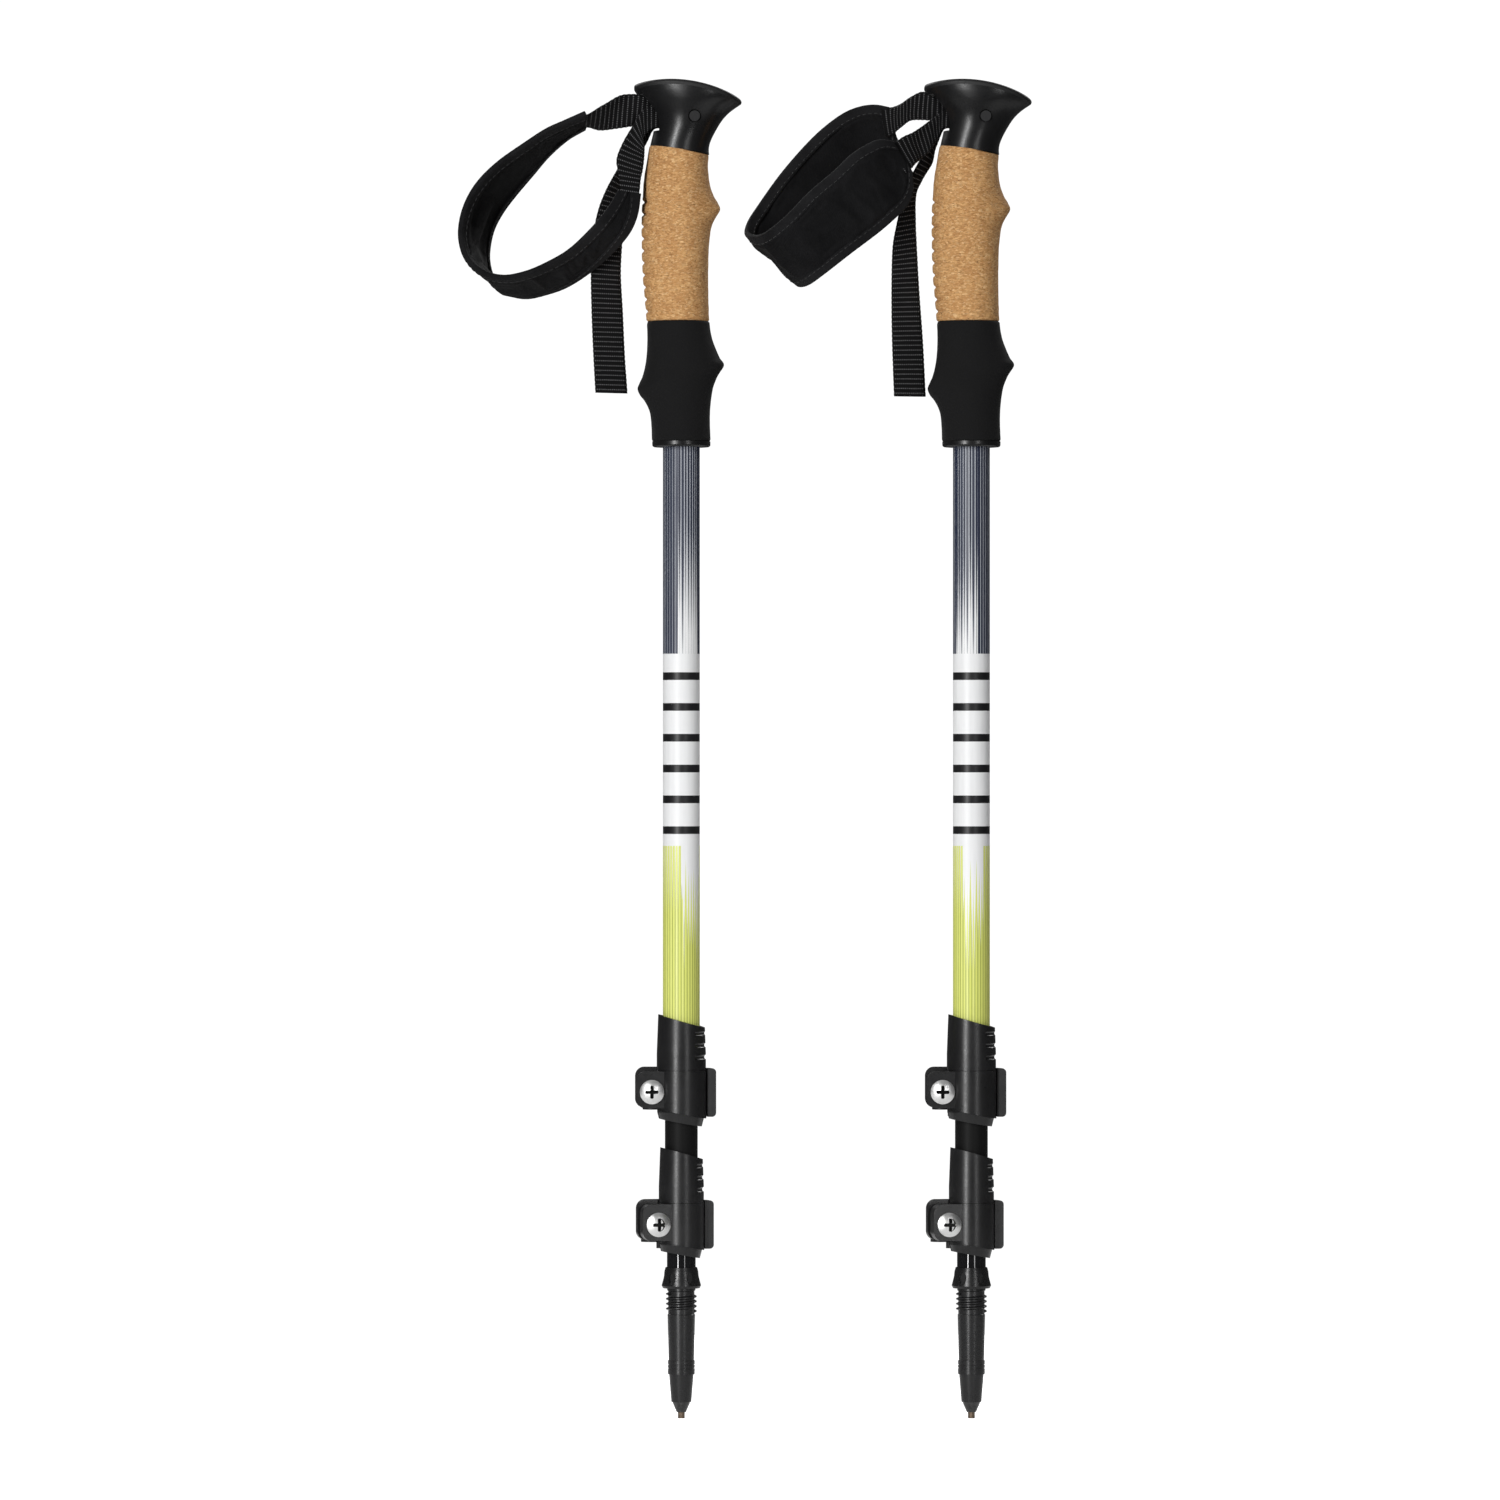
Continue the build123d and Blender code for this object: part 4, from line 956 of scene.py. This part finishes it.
def wrinkle(pad, side):
    """Creases across the band, deep in some stretches and faint in others, and a slow unevenness."""
    mesh = pad.data
    normals = [vertex.normal.copy() for vertex in mesh.vertices]
    layer = mesh.uv_layers[0].data
    along = {}
    for loop in mesh.loops:
        along[loop.vertex_index] = layer[loop.index].uv
    seed = 2.0 if side == "left" else 9.0
    for vertex, normal in zip(mesh.vertices, normals):
        u, v = along[vertex.index]
        slow = noise.noise(Vector((u * 0.05, v * 0.055, seed)))
        fine = 1 - abs(noise.noise(Vector((u * 0.07, v * 0.17, seed + 5)))) * 3
        deep = smooth_step(0.0, 1.0, 1.4 * noise.noise(Vector((u * 0.02, v * 0.03, seed + 9))) + 0.4)
        vertex.co += normal * (SLOW_LIFT * slow + CREASE_LIFT * max(fine, 0.0) ** 2 * deep) * MM


def binding(side, shape, first_edge):
    """Tape folded over one long edge of the pad."""
    profile = []
    flat, turns = 4, 8  # steps across each face of the tape, and round its fold
    for step in range(flat + 1):
        profile.append((BINDING_WIDTH * (1 - step / flat), 1.0))
    for step in range(1, turns):
        angle = math.pi * step / turns
        profile.append((-math.sin(angle) * TAPE_PAST, math.cos(angle)))
    for step in range(flat + 1):
        profile.append((BINDING_WIDTH * step / flat, -1.0))
    outer = [(inward, lift * (EDGE_HALF + TAPE_OUT + TAPE_RISE * smooth_step(0, BINDING_WIDTH, inward)))
             for inward, lift in profile]
    inner = [(inward, lift * (EDGE_HALF + TAPE_IN + TAPE_RISE * smooth_step(0, BINDING_WIDTH, inward)))
             for inward, lift in reversed(profile)]
    ring = outer + inner
    points = []
    for index in range(shape.steps + 1):
        along = shape.length * index / shape.steps
        pucker = 0.10 * math.sin(math.tau * along / TAPE_PUCKER)
        pucker += 0.25 * noise.noise(Vector((along * 0.12, 0.5, 3.3)))
        width = shape.frames[index][3]
        for inward, lift in ring:
            inward = min(inward, width * 0.42)
            place = inward + 0.15 * pucker
            point = shape.point(index, 0.0, lift * (1 + 0.16 * pucker))
            direction = shape.frames[index][1]
            points.append(point + direction * (place if first_edge else width - place))
    columns = len(ring)
    faces = grid_faces(shape.steps + 1, columns, closed_columns=True)
    faces.append(tuple(reversed(range(columns))))
    faces.append(tuple(shape.steps * columns + j for j in range(columns)))
    if not first_edge:
        faces = [tuple(reversed(face)) for face in faces]
    return make(f"{side}_pad_binding_{'near' if first_edge else 'far'}", points, faces, BINDING, side)


STITCH_LENGTH, STITCH_PITCH, STITCH_R = 2.0, 2.9, 0.17
STITCH_SIDES = 6  # of the thread's outline
STITCH_START = 1.0  # from the start of a row to its first stitch
SEAM_IN = 1.1  # from the binding's inner edge to its row of stitches
ON_TOP = 0.02  # stitches lie this far over the cloth
HEM_ROWS = (10.2, 8.4)  # the tail's two rows, from its end


def add_stitch(points, faces, start, end, lift):
    """One stitch: a short bead of thread that dives at both ends."""
    sides = STITCH_SIDES
    run = (end - start).normalized()
    side_way = run.cross(lift).normalized()
    base = len(points)
    rings = ((0.0, -0.10, 0.5), (0.2, 0.08, 1.0), (0.8, 0.08, 1.0), (1.0, -0.10, 0.5))
    for place, height, scale in rings:
        middle = start + (end - start) * place + lift * height
        for step in range(sides):
            angle = math.tau * step / sides
            out = lift * math.cos(angle) + side_way * math.sin(angle)
            points.append(middle + out * STITCH_R * scale)
    for ring in range(len(rings) - 1):
        for step in range(sides):
            other = (step + 1) % sides
            faces.append((base + ring * sides + step, base + ring * sides + other,
                          base + (ring + 1) * sides + other, base + (ring + 1) * sides + step))
    faces.append(tuple(base + step for step in reversed(range(sides))))
    faces.append(tuple(base + (len(rings) - 1) * sides + step for step in range(sides)))


def sew_row(points, faces, path, lifts):
    """Stitches in a row along a path of close points."""
    walked = 0.0
    next_start = STITCH_START
    start = None
    for a, b, lift in zip(path, path[1:], lifts):
        span = (b - a).length
        while walked + span >= next_start:
            place = a + (b - a) * ((next_start - walked) / span)
            if start is None:
                start = place
                next_start += STITCH_LENGTH
            else:
                add_stitch(points, faces, start, place, lift)
                start = None
                next_start += STITCH_PITCH - STITCH_LENGTH
        walked += span


def pad_stitches(side, shape):
    """A row of stitches near the inner edge of each binding, on both faces."""
    points, faces = [], []
    for inward in (BINDING_WIDTH - SEAM_IN, SEAM_IN - BINDING_WIDTH):
        for face in (1, -1):
            lift = EDGE_HALF + TAPE_OUT + TAPE_RISE * smooth_step(0, BINDING_WIDTH, abs(inward)) + ON_TOP
            path, lifts = [], []
            for index in range(shape.steps + 1):
                limit = shape.frames[index][3] * 0.4
                place = max(-limit, min(limit, inward))
                path.append(shape.point(index, place, lift * face))
                lifts.append(shape.frames[index][2] * face)
            sew_row(points, faces, path, lifts)
    return make(f"{side}_pad_stitches", points, faces, THREAD, side)


def sew_tail(side):
    """Two cross rows of stitches that hold the folded end of the tail."""
    steps, spots = 200, 24
    rows, length = even_spline(TAIL[side], steps)
    points, faces = [], []
    for inward in HEM_ROWS:
        index = int(steps * (1 - inward / length))
        a, b = Vector(rows[index][:3]), Vector(rows[index][3:])
        lift = Vector((0, -1, 0))
        path = [a.lerp(b, 0.06 + 0.88 * step / spots) + lift * (WEB_THICK / 2 + ON_TOP)
                for step in range(spots + 1)]
        sew_row(points, faces, path, [lift] * len(path))
    piece = make(f"{side}_tail_stitches", points, faces, THREAD, side)
    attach(piece, f"{side}_strap")


def make_pad(side):
    pad = pad_body(side)
    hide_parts(f"{side}_wrist_pad")
    shape = PadShape(side, 360)
    pieces = [pad, binding(side, shape, True), binding(side, shape, False), pad_stitches(side, shape)]
    for piece in pieces:
        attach(piece, f"{side}_strap")
    pad.modifiers.new("smooth", "SUBSURF").render_levels = 1


# ---- Room, lights and camera --------------------------------------------------------------------

VIEW_HEIGHT = 0.3259  # metres, the level of the middle of the picture
VIEW_WIDTH = 0.7317
CAMERA_AWAY = 4.2
SENSOR_WIDTH = 36  # millimetres
FLOOR_REACH = 0.6  # small, so that it hides no light from the poles; its edges don't show on the white
FLOOR_GLOW = 0.86  # to the camera only
ROOM_LIGHT = (0.07, 1.05)  # on the object, and to the camera


def plain_floor():
    mesh = bpy.data.meshes.new("floor")
    corners = [(x * FLOOR_REACH, y * FLOOR_REACH, 0) for x, y in ((-1, -1), (1, -1), (1, 1), (-1, 1))]
    mesh.from_pydata(corners, [], [(0, 1, 2, 3)])
    shader = Shader("floor", Roughness=0.9, Specular_IOR_Level=0.1)
    shader.surface.inputs["Emission Color"].default_value = (1, 1, 1, 1)
    camera_ray = shader.node("ShaderNodeLightPath").outputs["Is Camera Ray"]
    glow = shader.times(camera_ray, FLOOR_GLOW)
    shader.plug(shader.surface.inputs["Emission Strength"], glow)
    shader.colour(shader.mix(shader.noise(shader.place(), 3.0), (0.90, 0.90, 0.90), (0.93, 0.93, 0.93)))
    mesh.materials.append(shader.material)
    floor = bpy.data.objects.new("floor", mesh)
    bpy.context.scene.collection.objects.link(floor)


def soft_light(name, place, aim, width, height, power):
    light = bpy.data.lights.new(name, "AREA")
    light.shape = "RECTANGLE"
    light.size, light.size_y = width, height
    light.energy = power
    lamp = bpy.data.objects.new(name, light)
    lamp.location = place
    lamp.rotation_euler = (Vector(aim) - Vector(place)).to_track_quat("-Z", "Y").to_euler()
    bpy.context.scene.collection.objects.link(lamp)


def studio():
    """White room, brighter to the camera than to the object. Two tall strip lights in front, a wide
    one overhead, and two square ones high up behind."""
    world = bpy.data.worlds.new("studio")
    world.use_nodes = True
    tree = world.node_tree
    back = tree.nodes["Background"]
    path = tree.nodes.new("ShaderNodeLightPath")
    strength = tree.nodes.new("ShaderNodeMapRange")
    strength.inputs["To Min"].default_value, strength.inputs["To Max"].default_value = ROOM_LIGHT
    tree.links.new(path.outputs["Is Camera Ray"], strength.inputs["Value"])
    tree.links.new(strength.outputs["Result"], back.inputs["Strength"])
    back.inputs["Color"].default_value = (1, 1, 1, 1)
    bpy.context.scene.world = world
    aim = (0, 0, 0.35)
    for name, side, power in (("key", -1, 60), ("fill", 1, 13)):
        soft_light(name, (side * 1.18, -2.32, 0.72), aim, 0.22, 1.9, power)
    soft_light("top", (0.0, -0.2, 2.4), (0, 0, 0), 2.6, 2.2, 6)
    for name, side in (("back_left", -1), ("back_right", 1)):
        soft_light(name, (side * 1.3, 1.7, 2.0), aim, 1.2, 1.2, 30)


def photo_camera():
    data = bpy.data.cameras.new("camera")
    data.sensor_width = SENSOR_WIDTH
    data.lens = SENSOR_WIDTH * CAMERA_AWAY / VIEW_WIDTH
    data.clip_end = 60
    camera = bpy.data.objects.new("camera", data)
    camera.location = (0, -CAMERA_AWAY, VIEW_HEIGHT)
    camera.rotation_euler = (math.pi / 2, 0, 0)
    bpy.context.scene.collection.objects.link(camera)
    bpy.context.scene.camera = camera


# ---- The scene ----------------------------------------------------------------------------------

bpy.context.scene.view_settings.view_transform = "Standard"
photo_camera()
studio()
plain_floor()
dress_nodes()
for pole in SIDES:
    make_grips(pole)
    make_webbing(pole)
    make_pad(pole)
